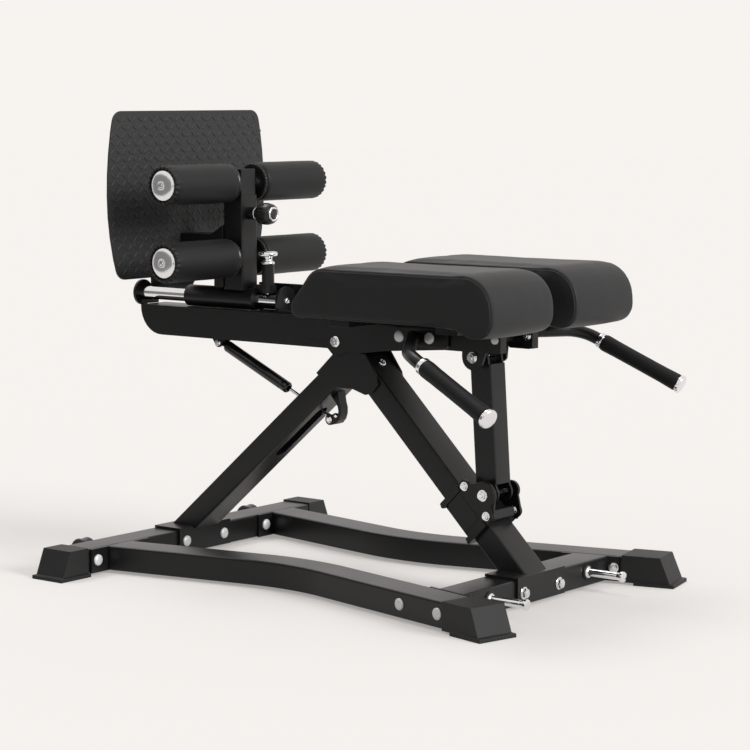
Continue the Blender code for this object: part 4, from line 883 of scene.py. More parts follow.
class RibCraft(Craft):
    """Sets ribs at an even pitch along the base's edges."""

    def __init__(self) -> None:
        """Build the tree."""
        super().__init__("row_of_ribs", {
            "Pitch": ("NodeSocketFloat", 0.003), "Length": ("NodeSocketFloat", 0.001),
            "Width": ("NodeSocketFloat", 0.001), "Height": ("NodeSocketFloat", 0.001),
            "Soften": ("NodeSocketFloat", 0.7), "Finish": ("NodeSocketMaterial", None)})
        line = self.node("GeometryNodeMeshToCurve", None, {0: self.input("Geometry")})
        places = self.node("GeometryNodeCurveToPoints", {"mode": "LENGTH"},
                           {"Curve": line.outputs[0], "Length": self.input("Pitch")})
        size = self.node("ShaderNodeCombineXYZ", None, {
            0: self.input("Width"), 1: self.input("Height"), 2: self.input("Length")})
        rib = self.node("GeometryNodeMeshCube", None, {
            "Size": size.outputs[0], "Vertices X": 3, "Vertices Y": 3, "Vertices Z": 3})
        across, up, ahead = self.parts(self.node("GeometryNodeInputPosition").outputs[0])
        corner = (abs(across) / self.number("Width") + abs(up) / self.number("Height")
                  + abs(ahead) / self.number("Length"))
        pull = 1.0 - (corner - 0.5).at_least(0.0) * (1.0 - self.number("Soften"))
        soft = self.node("ShaderNodeVectorMath", {"operation": "SCALE"}, {
            0: self.node("GeometryNodeInputPosition").outputs[0], "Scale": pull})
        rounded = self.node("GeometryNodeSetPosition", None, {
            "Geometry": rib.outputs["Mesh"], "Position": soft.outputs[0]})
        set_down = self.node("GeometryNodeInstanceOnPoints", None, {
            "Points": places.outputs["Points"], "Instance": rounded.outputs[0],
            "Rotation": places.outputs["Rotation"]})
        self.end(set_down.outputs[0])


class TreadCraft(Craft):
    """Lays lozenges in a basket pattern over a plate with bowed sides."""

    def __init__(self) -> None:
        """Build the tree."""
        super().__init__("tread_lozenges", {
            "Middle": ("NodeSocketVector", (0.0, 0.0, 0.0)), "Waist": ("NodeSocketFloat", 0.2),
            "Top": ("NodeSocketFloat", 0.2), "Bottom": ("NodeSocketFloat", 0.2),
            "Half Height": ("NodeSocketFloat", 0.2), "Corner": ("NodeSocketFloat", 0.02),
            "Margin": ("NodeSocketFloat", 0.004), "Pitch": ("NodeSocketFloat", 0.01),
            "Lozenge": ("NodeSocketObject", None), "Finish": ("NodeSocketMaterial", None)})
        pitch = self.number("Pitch")
        columns = self.number("Waist") * 2.0 / pitch + 2.0
        rows = self.number("Half Height") * 2.0 / pitch + 2.0
        grid = self.node("GeometryNodeMeshGrid", None, {
            "Size X": columns * pitch, "Size Y": rows * pitch,
            "Vertices X": columns + 1.0, "Vertices Y": rows + 1.0})
        raised = self.node("GeometryNodeTransform", None, {
            "Geometry": grid.outputs["Mesh"],
            "Rotation": (math.pi / 2, 0.0, math.pi / 2)})
        _, across, up = self.parts(self.node("GeometryNodeInputPosition").outputs[0])
        height = up / self.number("Half Height")
        top = height > 0.0
        end = self.number("Top") * top + self.number("Bottom") * (1.0 - top)
        width = self.number("Waist") - (self.number("Waist") - end) * height * height
        corner = self.number("Corner")
        past_side = (abs(across) - width + corner).at_least(0.0)
        past_end = (abs(up) - self.number("Half Height") + corner).at_least(0.0)
        beyond = (past_side * past_side + past_end * past_end) ** 0.5
        inside = beyond < (corner - self.number("Margin"))
        parity = (across / pitch).combined("ROUND", across / pitch) + (up / pitch).combined(
            "ROUND", up / pitch)
        odd = abs(parity).combined("MODULO", abs(parity), 2.0) > 0.5
        angle = odd * (math.pi / 2) + math.pi / 4
        about = self.node("FunctionNodeAxisAngleToRotation", None,
                          {"Axis": (1.0, 0.0, 0.0), "Angle": angle})
        lozenge = self.node("GeometryNodeObjectInfo", {"transform_space": "ORIGINAL"},
                            {"Object": self.input("Lozenge"), "As Instance": True})
        set_down = self.node("GeometryNodeInstanceOnPoints", None, {
            "Points": raised.outputs[0], "Selection": inside,
            "Instance": lozenge.outputs["Geometry"], "Rotation": about.outputs[0]})
        moved = self.node("GeometryNodeTransform", None, {
            "Geometry": set_down.outputs[0], "Translation": self.input("Middle")})
        self.end(moved.outputs[0])


# Workshop

@dataclass
class Fastener:
    """One head or nut: where it sits, which way it faces and how large it is."""

    place: Vector
    facing: Vector
    radius: float
    spin: float = 0.3


class Workshop:
    """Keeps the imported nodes, the finishes and the crafts, and hands over each piece."""

    def __init__(self, frame: dict[str, Any]) -> None:
        """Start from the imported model."""
        self.nodes: dict[str, bpy.types.Object] = frame["nodes"]
        self.materials: dict[str, bpy.types.Material] = {}
        self.fasteners = FastenerCraft()
        self.ribs = RibCraft()
        self.heads = {kind: self.pattern("head_" + kind.value, FASTENER_SHAPES[kind]())
                      for kind in FastenerKind}

    def coat(self, finish: Finish) -> bpy.types.Material:
        """Give a finish's material, made once."""
        if finish.name not in self.materials:
            self.materials[finish.name] = finish.material()
        return self.materials[finish.name]

    def pattern(self, name: str, mesh: bmesh.types.BMesh) -> bpy.types.Object:
        """Keep a mesh as a pattern that a craft repeats."""
        data = self.smooth_mesh(name, mesh, 30.0)
        return bpy.data.objects.new(name, data)

    @staticmethod
    def smooth_mesh(name: str, mesh: bmesh.types.BMesh, crease: float) -> bpy.types.Mesh:
        """Turn a bmesh into a mesh that is smooth except at its creases."""
        data = bpy.data.meshes.new(name)
        mesh.to_mesh(data)
        mesh.free()
        data.shade_smooth()
        data.set_sharp_from_angle(angle=math.radians(crease))
        return data

    def piece(self, name: str, mesh: bmesh.types.BMesh, finish: Finish, body: Body,
              replaced: Sequence[str] = (), crease: float = 32.0,
              weighted: bool = False) -> bpy.types.Object:
        """Make a mesh a finished piece.

        Args:
            name: The piece's name.
            mesh: Its shape, freed here.
            finish: What it is coated with.
            body: What it rides on.
            replaced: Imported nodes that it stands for.
            crease: Angle over which an edge stays sharp, in degrees.
            weighted: Whether flat faces keep flat shading beside soft edges.

        Returns:
            The piece.
        """
        made = bpy.data.objects.new(name, self.smooth_mesh(name, mesh, crease))
        bpy.context.scene.collection.objects.link(made)
        if weighted:
            modifier = made.modifiers.new("flat_faces", "WEIGHTED_NORMAL")
            modifier.keep_sharp = True
        made.data.materials.append(self.coat(finish))
        return self.hand_over(made, finish, body, replaced)

    def turn(self, name: str, profile: Sequence[Point2], ease: tuple[float, int],
             origin: Vector, axis: Vector, steps: int, finish: Finish, body: Body,
             replaced: Sequence[str] = (), loop: bool = False) -> bpy.types.Object:
        """Turn a profile with rounded corners, and make it a finished piece.

        Args:
            name: The piece's name.
            profile: Radius and distance along the axis of each corner.
            ease: Largest rounding of a corner, and the steps in it.
            origin: Where the axis starts.
            axis: Its direction.
            steps: Points for each turn.
            finish: What the piece is coated with.
            body: What it rides on.
            replaced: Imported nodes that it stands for.
            loop: Whether the profile closes on itself, as a ring's does.

        Returns:
            The piece.
        """
        mesh = turned(eased(profile, *ease, loop), origin, axis, steps, loop)
        return self.piece(name, mesh, finish, body, replaced)

    def hand_over(self, made: bpy.types.Object, finish: Finish, body: Body,
                  replaced: Sequence[str] = ()) -> bpy.types.Object:
        """Put a piece on its body and report it."""
        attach(made, body.value)
        if replaced:
            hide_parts(*replaced)
        LOG.info("%s rides on %s", made.name, body.value)
        return made

    def coated(self, node: str, body: Body, finish: Finish = COAT, edge: float = 0.0011,
               crease: float = 34.0) -> bpy.types.Object:
        """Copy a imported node, soften its edges and coat it.

        Args:
            node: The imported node, which the copy stands for.
            body: What it rides on.
            finish: What it is coated with.
            edge: Width of the softened edges.
            crease: Angle over which an edge is softened, in degrees.

        Returns:
            The coated piece.
        """
        mesh = self.welded(node)
        whole = mesh.calc_volume()
        soft = mesh.copy()
        sharp = [e for e in soft.edges
                 if len(e.link_faces) == 2 and e.calc_face_angle(0.0) > math.radians(crease)]
        bmesh.ops.bevel(soft, geom=sharp, offset=edge, offset_type="OFFSET", segments=2,
                        profile=0.5, affect="EDGES", clamp_overlap=True)
        kept = abs(soft.calc_volume() - whole) < 0.04 * whole
        if kept and all(edge_.is_manifold for edge_ in soft.edges):
            mesh.free()
            mesh = soft
        else:
            LOG.info("%s keeps its hard edges", node)
            soft.free()
        return self.piece(node + "_coated", mesh, finish, body, [node], weighted=True)

    def welded(self, node: str) -> bmesh.types.BMesh:
        """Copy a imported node's mesh with its corners merged and its flats whole."""
        mesh = bmesh.new()
        mesh.from_mesh(self.nodes[node].data)
        bmesh.ops.remove_doubles(mesh, verts=mesh.verts, dist=5e-6)
        bmesh.ops.dissolve_limit(mesh, angle_limit=math.radians(0.6), verts=mesh.verts,
                                 edges=mesh.edges)
        return mesh

    def set_fasteners(self, name: str, kind: FastenerKind, body: Body,
                      fasteners: Sequence[Fastener], finish: Finish = CHROME
                      ) -> bpy.types.Object:
        """Set a group of heads or nuts that ride on one body.

        Args:
            name: The group's name.
            kind: Their shape.
            body: What they ride on.
            fasteners: Where each sits.
            finish: What they are coated with.

        Returns:
            The group, as one piece.
        """
        base = bpy.data.meshes.new(name + "_places")
        base.from_pydata([tuple(f.place) for f in fasteners], [], [])
        facing = base.attributes.new("facing", "FLOAT_VECTOR", "POINT")
        facing.data.foreach_set("vector", np.ravel([tuple(f.facing) for f in fasteners]))
        for label, values in (("size", [f.radius for f in fasteners]),
                              ("spin", [f.spin for f in fasteners])):
            base.attributes.new(label, "FLOAT", "POINT").data.foreach_set("value", values)
        made = self.fasteners.run(name, base, {
            "Head": self.heads[kind], "Finish": self.coat(finish)})
        return self.hand_over(made, finish, body)

    def set_ribs(self, name: str, lines: Sequence[Sequence[Vector]], closed: bool,
                 sizes: dict[str, float], finish: Finish, body: Body) -> bpy.types.Object:
        """Set a row of ribs along each line.

        Args:
            name: The row's name.
            lines: Points of each line.
            closed: Whether the lines are loops.
            sizes: Pitch, Length, Width, Height and Soften of the ribs.
            finish: What they are coated with.
            body: What they ride on.

        Returns:
            The row, as one piece.
        """
        points: list[tuple[float, float, float]] = []
        edges: list[tuple[int, int]] = []
        for line in lines:
            start = len(points)
            points += [tuple(point) for point in line]
            edges += [(start + i, start + i + 1) for i in range(len(line) - 1)]
            if closed:
                edges.append((start + len(line) - 1, start))
        base = bpy.data.meshes.new(name + "_line")
        base.from_pydata(points, edges, [])
        made = self.ribs.run(name, base, {**sizes, "Finish": self.coat(finish)})
        return self.hand_over(made, finish, body)


def dome_head() -> bmesh.types.BMesh:
    """A carriage bolt's domed head, one unit in radius."""
    profile = [(0.0, -0.05), (0.96, -0.05), (1.0, 0.0), (1.0, 0.10)]
    profile += [(math.cos(a) * 0.985, 0.12 + 0.33 * math.sin(a))
                for a in np.linspace(0.05, math.pi / 2 - 0.12, 9)]
    profile.append((0.0, 0.45))
    return turned(profile, Vector(), ALONG_Z, 32)


def hex_prism(radius: float, low: float, high: float, chamfer: float) -> bmesh.types.BMesh:
    """A six-sided block with its top corners turned off."""
    rings = []
    for z, reach in ((low, radius), (high - chamfer * 0.5, radius), (high, radius - chamfer)):
        ring = []
        for index in range(24):
            angle = 2 * math.pi * index / 24
            flat = radius * math.cos(math.pi / 6) / math.cos((angle % (math.pi / 3)) - math.pi / 6)
            ring.append(Vector((math.cos(angle), math.sin(angle), 0)) * min(flat, reach)
                        + Vector((0, 0, z)))
        rings.append(ring)
    return skin(rings)


def hex_nut() -> bmesh.types.BMesh:
    """A nut on its washer, with the bolt's end through it."""
    washer = turned([(0.0, -0.03), (0.97, -0.03), (1.0, 0.0), (1.0, 0.10), (0.96, 0.13),
                     (0.0, 0.13)], Vector(), ALONG_Z, 32)
    nut = hex_prism(0.80, 0.12, 0.62, 0.075)
    end = turned([(0.0, 0.50), (0.42, 0.50), (0.42, 0.74), (0.36, 0.80), (0.0, 0.80)],
                 Vector(), ALONG_Z, 24)
    return joined([washer, nut, end])


def socket_head() -> bmesh.types.BMesh:
    """A button head with a hollow in its middle."""
    profile = [(0.0, -0.05), (0.96, -0.05), (1.0, 0.0), (1.0, 0.12), (0.93, 0.30),
               (0.76, 0.42), (0.52, 0.47), (0.46, 0.44), (0.44, 0.20), (0.0, 0.18)]
    return turned(eased(profile, 0.04, 2), Vector(), ALONG_Z, 32)


FASTENER_SHAPES: dict[FastenerKind, Callable[[], bmesh.types.BMesh]] = {
    FastenerKind.DOME: dome_head,
    FastenerKind.HEX_NUT: hex_nut,
    FastenerKind.SOCKET: socket_head,
}


# Studio

@dataclass
class Studio:
    """The camera, the lamps and the pale floor."""

    azimuth: float = math.radians(38.0)
    pitch: float = math.radians(6.58)
    focal: float = 2443.0
    frame_pixels: float = 750.0
    sensor: float = 36.0
    distance: float = 4.882
    aim: Vector = field(default_factory=lambda: at(0.0, 0.0, 0.412))
    backdrop: Colour = (0.930, 0.896, 0.867)
    ambient: float = 0.47
    floor_glow: float = 0.34
    floor_size: float = 60.0
    floor_bounce: Colour = (0.30, 0.29, 0.28)
    card_grey: Colour = (0.26, 0.26, 0.26)
    cards: tuple[tuple[Point2, Point2, float], ...] = (
        ((-3.4, -1.1), (-0.2, -3.6), 1.7), ((1.2, -4.6), (3.3, -3.6), 0.9))

    def build(self) -> None:
        """Make everything in the studio."""
        self.set_camera()
        self.set_world()
        self.lay_floor()
        self.stand_cards()
        self.hang_lamps()

    def set_camera(self) -> None:
        """Set the camera where the machine was seen from."""
        right = Vector((math.cos(self.azimuth), math.sin(self.azimuth), 0.0))
        ahead = Vector((-math.sin(self.azimuth) * math.cos(self.pitch),
                        math.cos(self.azimuth) * math.cos(self.pitch), -math.sin(self.pitch)))
        up = right.cross(ahead)
        place = self.aim - ahead * self.distance
        lens = bpy.data.cameras.new("camera")
        lens.sensor_width = self.sensor
        lens.sensor_height = self.sensor
        lens.lens = self.focal / self.frame_pixels * self.sensor
        lens.clip_end = 200.0
        camera = bpy.data.objects.new("camera", lens)
        camera.matrix_world = Matrix((
            (right.x, up.x, -ahead.x, place.x), (right.y, up.y, -ahead.y, place.y),
            (right.z, up.z, -ahead.z, place.z), (0.0, 0.0, 0.0, 1.0)))
        bpy.context.scene.collection.objects.link(camera)
        bpy.context.scene.camera = camera

    @staticmethod
    def seen(sheet: NodeSheet) -> Field:
        """Give 1 for rays that show the background: from the camera, in gloss or through glass."""
        path = sheet.node("ShaderNodeLightPath")
        camera, gloss, through = (Field(sheet, path.outputs[name]) for name in (
            "Is Camera Ray", "Is Glossy Ray", "Is Transmission Ray"))
        return (camera + gloss + through).at_most(1.0)

    def set_world(self) -> None:
        """Light from all round, with the backdrop's colour where it is seen."""
        world = bpy.data.worlds.new("studio")
        bpy.context.scene.world = world
        world.use_nodes = True
        sheet = NodeSheet(world.node_tree)
        sheet.tree.nodes.clear()
        seen = self.seen(sheet)
        light = sheet.node("ShaderNodeBackground", None, {
            "Color": (1.0, 1.0, 1.0, 1.0), "Strength": self.ambient})
        shown = sheet.node("ShaderNodeBackground", None, {
            "Color": (*self.backdrop, 1.0), "Strength": 1.0})
        mixed = sheet.node("ShaderNodeMixShader", None, {
            0: seen, 1: light.outputs[0], 2: shown.outputs[0]})
        sheet.node("ShaderNodeOutputWorld", None, {0: mixed.outputs[0]})

    def lay_floor(self) -> None:
        """Lay the pale floor, which keeps a soft shadow."""
        half = self.floor_size / 2
        data = bpy.data.meshes.new("floor")
        data.from_pydata([(-half, -half, 0), (half, -half, 0), (half, half, 0), (-half, half, 0)],
                         [], [(0, 1, 2, 3)])
        floor = bpy.data.objects.new("floor", data)
        bpy.context.scene.collection.objects.link(floor)
        material = bpy.data.materials.new("pale_floor")
        material.use_nodes = True
        sheet = NodeSheet(material.node_tree)
        sheet.tree.nodes.clear()
        seen = self.seen(sheet)
        cover = sheet.node("ShaderNodeMix", {"data_type": "RGBA"}, {
            "Factor": seen, 6: (*self.floor_bounce, 1.0), 7: (*self.backdrop, 1.0)})
        matt = sheet.node("ShaderNodeBsdfDiffuse", None, {"Color": cover.outputs[2]})
        glow = sheet.node("ShaderNodeEmission", None, {
            "Color": (*self.backdrop, 1.0), "Strength": 1.0})
        mixed = sheet.node("ShaderNodeMixShader", None, {
            0: seen * self.floor_glow, 1: matt.outputs[0], 2: glow.outputs[0]})
        sheet.node("ShaderNodeOutputMaterial", None, {0: mixed.outputs[0]})
        data.materials.append(material)

    def stand_cards(self) -> None:
        """Stand dark cards off to the machine's right, which only its gloss shows."""
        material = bpy.data.materials.new("dark_card")
        material.use_nodes = True
        material.node_tree.nodes["Principled BSDF"].inputs["Base Color"].default_value = (
            *self.card_grey, 1.0)
        for number, (start, end, height) in enumerate(self.cards, 1):
            data = bpy.data.meshes.new(f"card_{number}")
            data.from_pydata([(*start, 0.002), (*end, 0.002), (*end, height), (*start, height)],
                             [], [(0, 1, 2, 3)])
            data.materials.append(material)
            card = bpy.data.objects.new(f"card_{number}", data)
            bpy.context.scene.collection.objects.link(card)
            card.visible_camera = False
            card.visible_diffuse = False
            card.visible_shadow = False

    def hang_lamps(self) -> None:
        """Hang a soft key lamp overhead and a softer one ahead of the pads."""
        for name, source, strength, spread in (
                ("key_lamp", Vector((-0.40, 0.10, 0.90)), 0.80, 24.0),
                ("front_lamp", Vector((0.86, 0.04, 0.38)), 2.25, 22.0)):
            lamp = bpy.data.lights.new(name, "SUN")
            lamp.energy = strength
            lamp.angle = math.radians(spread)
            hung = bpy.data.objects.new(name, lamp)
            hung.rotation_euler = source.to_track_quat("Z", "Y").to_euler()
            hung.location = source.normalized() * 4.0
            bpy.context.scene.collection.objects.link(hung)


# Sub-assemblies

@dataclass
class Base:
    """The floor frame: cross beams, splayed rails, caps, pegs, wheels and their bolts."""

    shop: Workshop
    flange_x: float = -0.4582
    flange_bolts: tuple[float, ...] = (0.198, 0.3254)
    flange_bolt_z: float = 0.0317
    saddle_bolt_y: float = 0.0590
    saddle_bolt_z: float = 0.0324
    front_saddle_x: float = 0.4053
    front_bolt_y: float = 0.0597
    front_bolt_z: float = 0.0299
    dome: float = 0.0116
    waist: Point2 = (-0.044, 0.1774)
    rail_angle: float = math.radians(13.5)
    rail_half: float = 0.0375
    rail_bolts: tuple[float, ...] = (0.3510, 0.4595)
    rail_bolt_z: float = 0.0327
    rail_nut_z: float = 0.0330
    rail_nut_seat: float = 0.0054
    saddle_nut: float = 0.0122
    rail_nut: float = 0.0105
    peg_spread: float = 0.3312
    peg_z: float = 0.035
    peg_root_x: float = 0.4003

    def build(self) -> None:
        """Make the base."""
        for node in ("rear_cross_beam", "front_cross_beam", "left_side_rail", "right_side_rail"):
            self.shop.coated(node, Body.FRAME, edge=0.0009)
        self.set_bolts()
        self.set_caps()
        self.set_pegs()
        self.set_wheels()

    def rail_place(self, sign: float, along: float, out: float, z: float) -> Vector:
        """Give a place beside a rail's front run.

        Args:
            sign: 1 for the left rail, -1 for the right.
            along: Distance from the waist.
            out: Distance outwards from the rail's middle.
            z: Height.

        Returns:
            The place.
        """
        x = self.waist[0] + math.cos(self.rail_angle) * along - math.sin(self.rail_angle) * out
        y = self.waist[1] + math.sin(self.rail_angle) * along + math.cos(self.rail_angle) * out
        return at(x, sign * y, z)

    def set_bolts(self) -> None:
        """Set the domed bolts and the nuts of the base."""
        domes = []
        for _, sign in SIDES:
            domes += [Fastener(at(self.flange_x, sign * y, self.flange_bolt_z), ALONG_X,
                               self.dome)
                      for y in self.flange_bolts]
            domes.append(Fastener(at(self.flange_x, sign * self.saddle_bolt_y, self.saddle_bolt_z),
                                  ALONG_X, self.dome))
            outward = Vector((-math.sin(self.rail_angle), sign * math.cos(self.rail_angle), 0))
            domes += [Fastener(self.rail_place(sign, along, self.rail_half, self.rail_bolt_z),
                               outward, self.dome) for along in self.rail_bolts]
        self.shop.set_fasteners("base_dome_bolts", FastenerKind.DOME, Body.FRAME, domes, ZINC)
        nuts = []
        for _, sign in SIDES:
            nuts.append(Fastener(at(self.front_saddle_x, sign * self.front_bolt_y,
                                    self.front_bolt_z), ALONG_X, self.saddle_nut, 0.4 + sign * 0.2))
            inward = Vector((math.sin(self.rail_angle), -sign * math.cos(self.rail_angle), 0))
            nuts += [Fastener(self.rail_place(sign, along, -self.rail_half - self.rail_nut_seat,
                                              self.rail_nut_z), inward, self.rail_nut, 0.2)
                     for along in self.rail_bolts]
        self.shop.set_fasteners("base_nuts", FastenerKind.HEX_NUT, Body.FRAME, nuts)

    def set_caps(self) -> None:
        """Finish the rubber caps, with ribs round their soles."""
        loops = []
        for end in ("rear", "front"):
            for side, sign in SIDES:
                node = f"{end}_{side}_foot"
                self.shop.coated(node, Body.FRAME, RUBBER, edge=0.0014)
                loops.append(self.sole_loop(node))
        self.shop.set_ribs("sole_ribs", loops, True, {
            "Pitch": 0.0036, "Length": 0.0019, "Width": 0.0016, "Height": 0.0058,
            "Soften": 0.75}, RUBBER, Body.FRAME)

    def sole_loop(self, node: str) -> list[Vector]:
        """Give the outline of a cap's sole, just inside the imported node's lowest corners."""
        points = [v.co for v in self.shop.nodes[node].data.vertices if v.co.z < 0.0005]
        middle = sum(points, Vector()) / len(points)
        corners: list[Vector] = []
        for point in sorted(points, key=lambda p: -(p - middle).length):
            if all((point - corner).length > 0.02 for corner in corners):
                corners.append(point.copy())
        corners = corners[:4]
        corners.sort(key=lambda p: math.atan2(p.y - middle.y, p.x - middle.x))
        loop = []
        for before, after in zip(corners, corners[1:] + corners[:1]):
            along = (after - before).normalized()
            inset = along * 0.003
            inward = ALONG_Z.cross(along) * 0.0006
            steps = max(int((after - before).length / 0.01), 2)
            loop += [(before + inset).lerp(after - inset, i / steps) + inward
                     for i in range(steps + 1)]
        return [Vector((p.x, p.y, 0.0037)) for p in loop]

    def set_pegs(self) -> None:
        """Turn the chrome pegs, each in a dark grommet."""
        profile = [(0.0, 0.0005), (0.0112, 0.0005), (0.0118, 0.0040), (0.0100, 0.0062),
                   (0.0079, 0.0066), (0.0075, 0.0080), (0.0075, 0.0700), (0.0071, 0.0705),
                   (0.0071, 0.0722), (0.0075, 0.0727), (0.0076, 0.0785), (0.0103, 0.0795),
                   (0.0105, 0.0805), (0.0105, 0.0848), (0.0098, 0.0860), (0.0, 0.0860)]
        for side, sign in SIDES:
            root = at(self.peg_root_x, sign * self.peg_spread / 2, self.peg_z)
            self.shop.turn(f"{side}_peg_turned", profile, (0.0006, 2), root, ALONG_X, 40,
                           CHROME, Body.FRAME, [f"{side}_band_peg"])
            ring = [(0.0119, -0.0005), (0.0150, -0.0005), (0.0148, 0.0018), (0.0136, 0.0030),
                    (0.0119, 0.0026)]
            self.shop.turn(f"{side}_peg_grommet", ring, (0.0005, 2), root, ALONG_X, 40,
                           RUBBER, Body.FRAME, loop=True)

    def set_wheels(self) -> None:
        """Finish the transport wheels and their brackets."""
        for side, body in (("left", Body.LEFT_WHEEL), ("right", Body.RIGHT_WHEEL)):
            self.shop.coated(f"{side}_wheel_bracket", Body.FRAME, edge=0.0005)
            low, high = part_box(f"{side}_transport_wheel")
            middle = (low + high) / 2
            radius = (high.x - low.x) / 2
            half = (high.y - low.y) / 2
            profile = [(0.0054, -half), (0.011, -half), (0.012, -half + 0.002),
                       (radius - 0.007, -half + 0.002), (radius - 0.006, -half),
                       (radius - 0.002, -half), (radius, -half + 0.003)]
            profile += [(radius - 0.0012, -0.004), (radius - 0.0012, 0.004)]
            profile += [(radius, half - 0.003), (radius - 0.002, half), (radius - 0.006, half),
                        (radius - 0.007, half - 0.002), (0.012, half - 0.002), (0.011, half),
                        (0.0054, half)]
            self.shop.turn(f"{side}_wheel_moulded", profile, (0.0008, 2), middle, ALONG_Y, 48,
                           PLASTIC, body, [f"{side}_transport_wheel"], loop=True)


@dataclass
class Struts:
    """The two struts with their gussets, the spring's hook and their bolts."""

    shop: Workshop
    head_bolt: Vector = field(default_factory=lambda: at(0.0200, 0.0, 0.4415))
    face_depth: float = 0.0241

    def build(self) -> None:
        """Make the struts."""
        for node in ("rear_strut", "front_strut"):
            self.shop.coated(node, Body.FRAME, edge=0.0009)
        for node in ("left_gusset", "right_gusset", "spring_hook"):
            self.shop.coated(node, Body.FRAME, edge=0.0006)
        self.shop.coated("spring_foot_bolt", Body.FRAME, CHROME, edge=0.0004)
        outward = Vector((math.sin(STRUT_ANGLE), 0.0, math.cos(STRUT_ANGLE)))
        self.shop.set_fasteners("strut_head_bolt", FastenerKind.SOCKET, Body.FRAME, [
            Fastener(self.on_front_face(outward), outward, 0.0092)])

    def on_front_face(self, outward: Vector) -> Vector:
        """Give the bolt's place on the front strut's upper face."""
        foot = at(STRUT_FOOT[0], 0.0, STRUT_FOOT[1])
        along = Vector((-math.cos(STRUT_ANGLE), 0.0, math.sin(STRUT_ANGLE)))
        run = (self.head_bolt - foot).dot(along)
        return foot + along * run + outward * self.face_depth


@dataclass
class Beam:
    """The tilting beam with its brackets, slide rail and bolts."""

    shop: Workshop
    plate_y: float = 0.04855
    pivot: Vector = field(default_factory=lambda: at(-0.0625, 0.0, 0.479))
    link_top: Vector = field(default_factory=lambda: at(0.2745, 0.0, 0.4695))

    def build(self) -> None:
        """Make the beam."""
        self.shop.coated("main_beam", Body.BEAM, edge=0.0009)
        for node in ("rear_pad_bracket", "front_pad_bracket", "front_rail_plate",
                     "rear_rail_plate"):
            self.shop.coated(node, Body.BEAM, edge=0.0007)
        self.shop.coated("slide_rail", Body.BEAM, CHROME, edge=0.0003)
        for node in ("pivot_bolt", "link_top_bolt", "spring_top_bolt"):
            self.shop.coated(node, Body.BEAM, CHROME, edge=0.0005)
        self.set_nuts()

    def set_nuts(self) -> None:
        """Set the nuts of the pivots and the bolts of the hangers."""
        nuts = []
        for _, sign in SIDES:
            facing = ALONG_Y * sign
            for centre, radius, reach in ((self.pivot, 0.0108, self.plate_y),
                                          (self.link_top, 0.0112, self.plate_y),
                                          (SPRING_TOP, 0.0068, 0.0121)):
                nuts.append(Fastener(centre + facing * (reach + 0.0005), facing, radius, 0.35))
        nuts.append(Fastener(at(0.3300, 0.0548, 0.5068), -ALONG_Y, 0.0088, 0.1))
        self.shop.set_fasteners("beam_nuts", FastenerKind.HEX_NUT, Body.BEAM, nuts)
        domes = [Fastener(at(0.3290, -0.0521, 0.5066), -ALONG_Y, 0.0088)]
        self.shop.set_fasteners("hanger_dome", FastenerKind.DOME, Body.BEAM, domes, ZINC)
        socket = Fastener(at(-0.2290, 0.0, 0.5478), ALONG_X, 0.0072)
        self.shop.set_fasteners("rail_end_screw", FastenerKind.SOCKET, Body.BEAM, [socket])


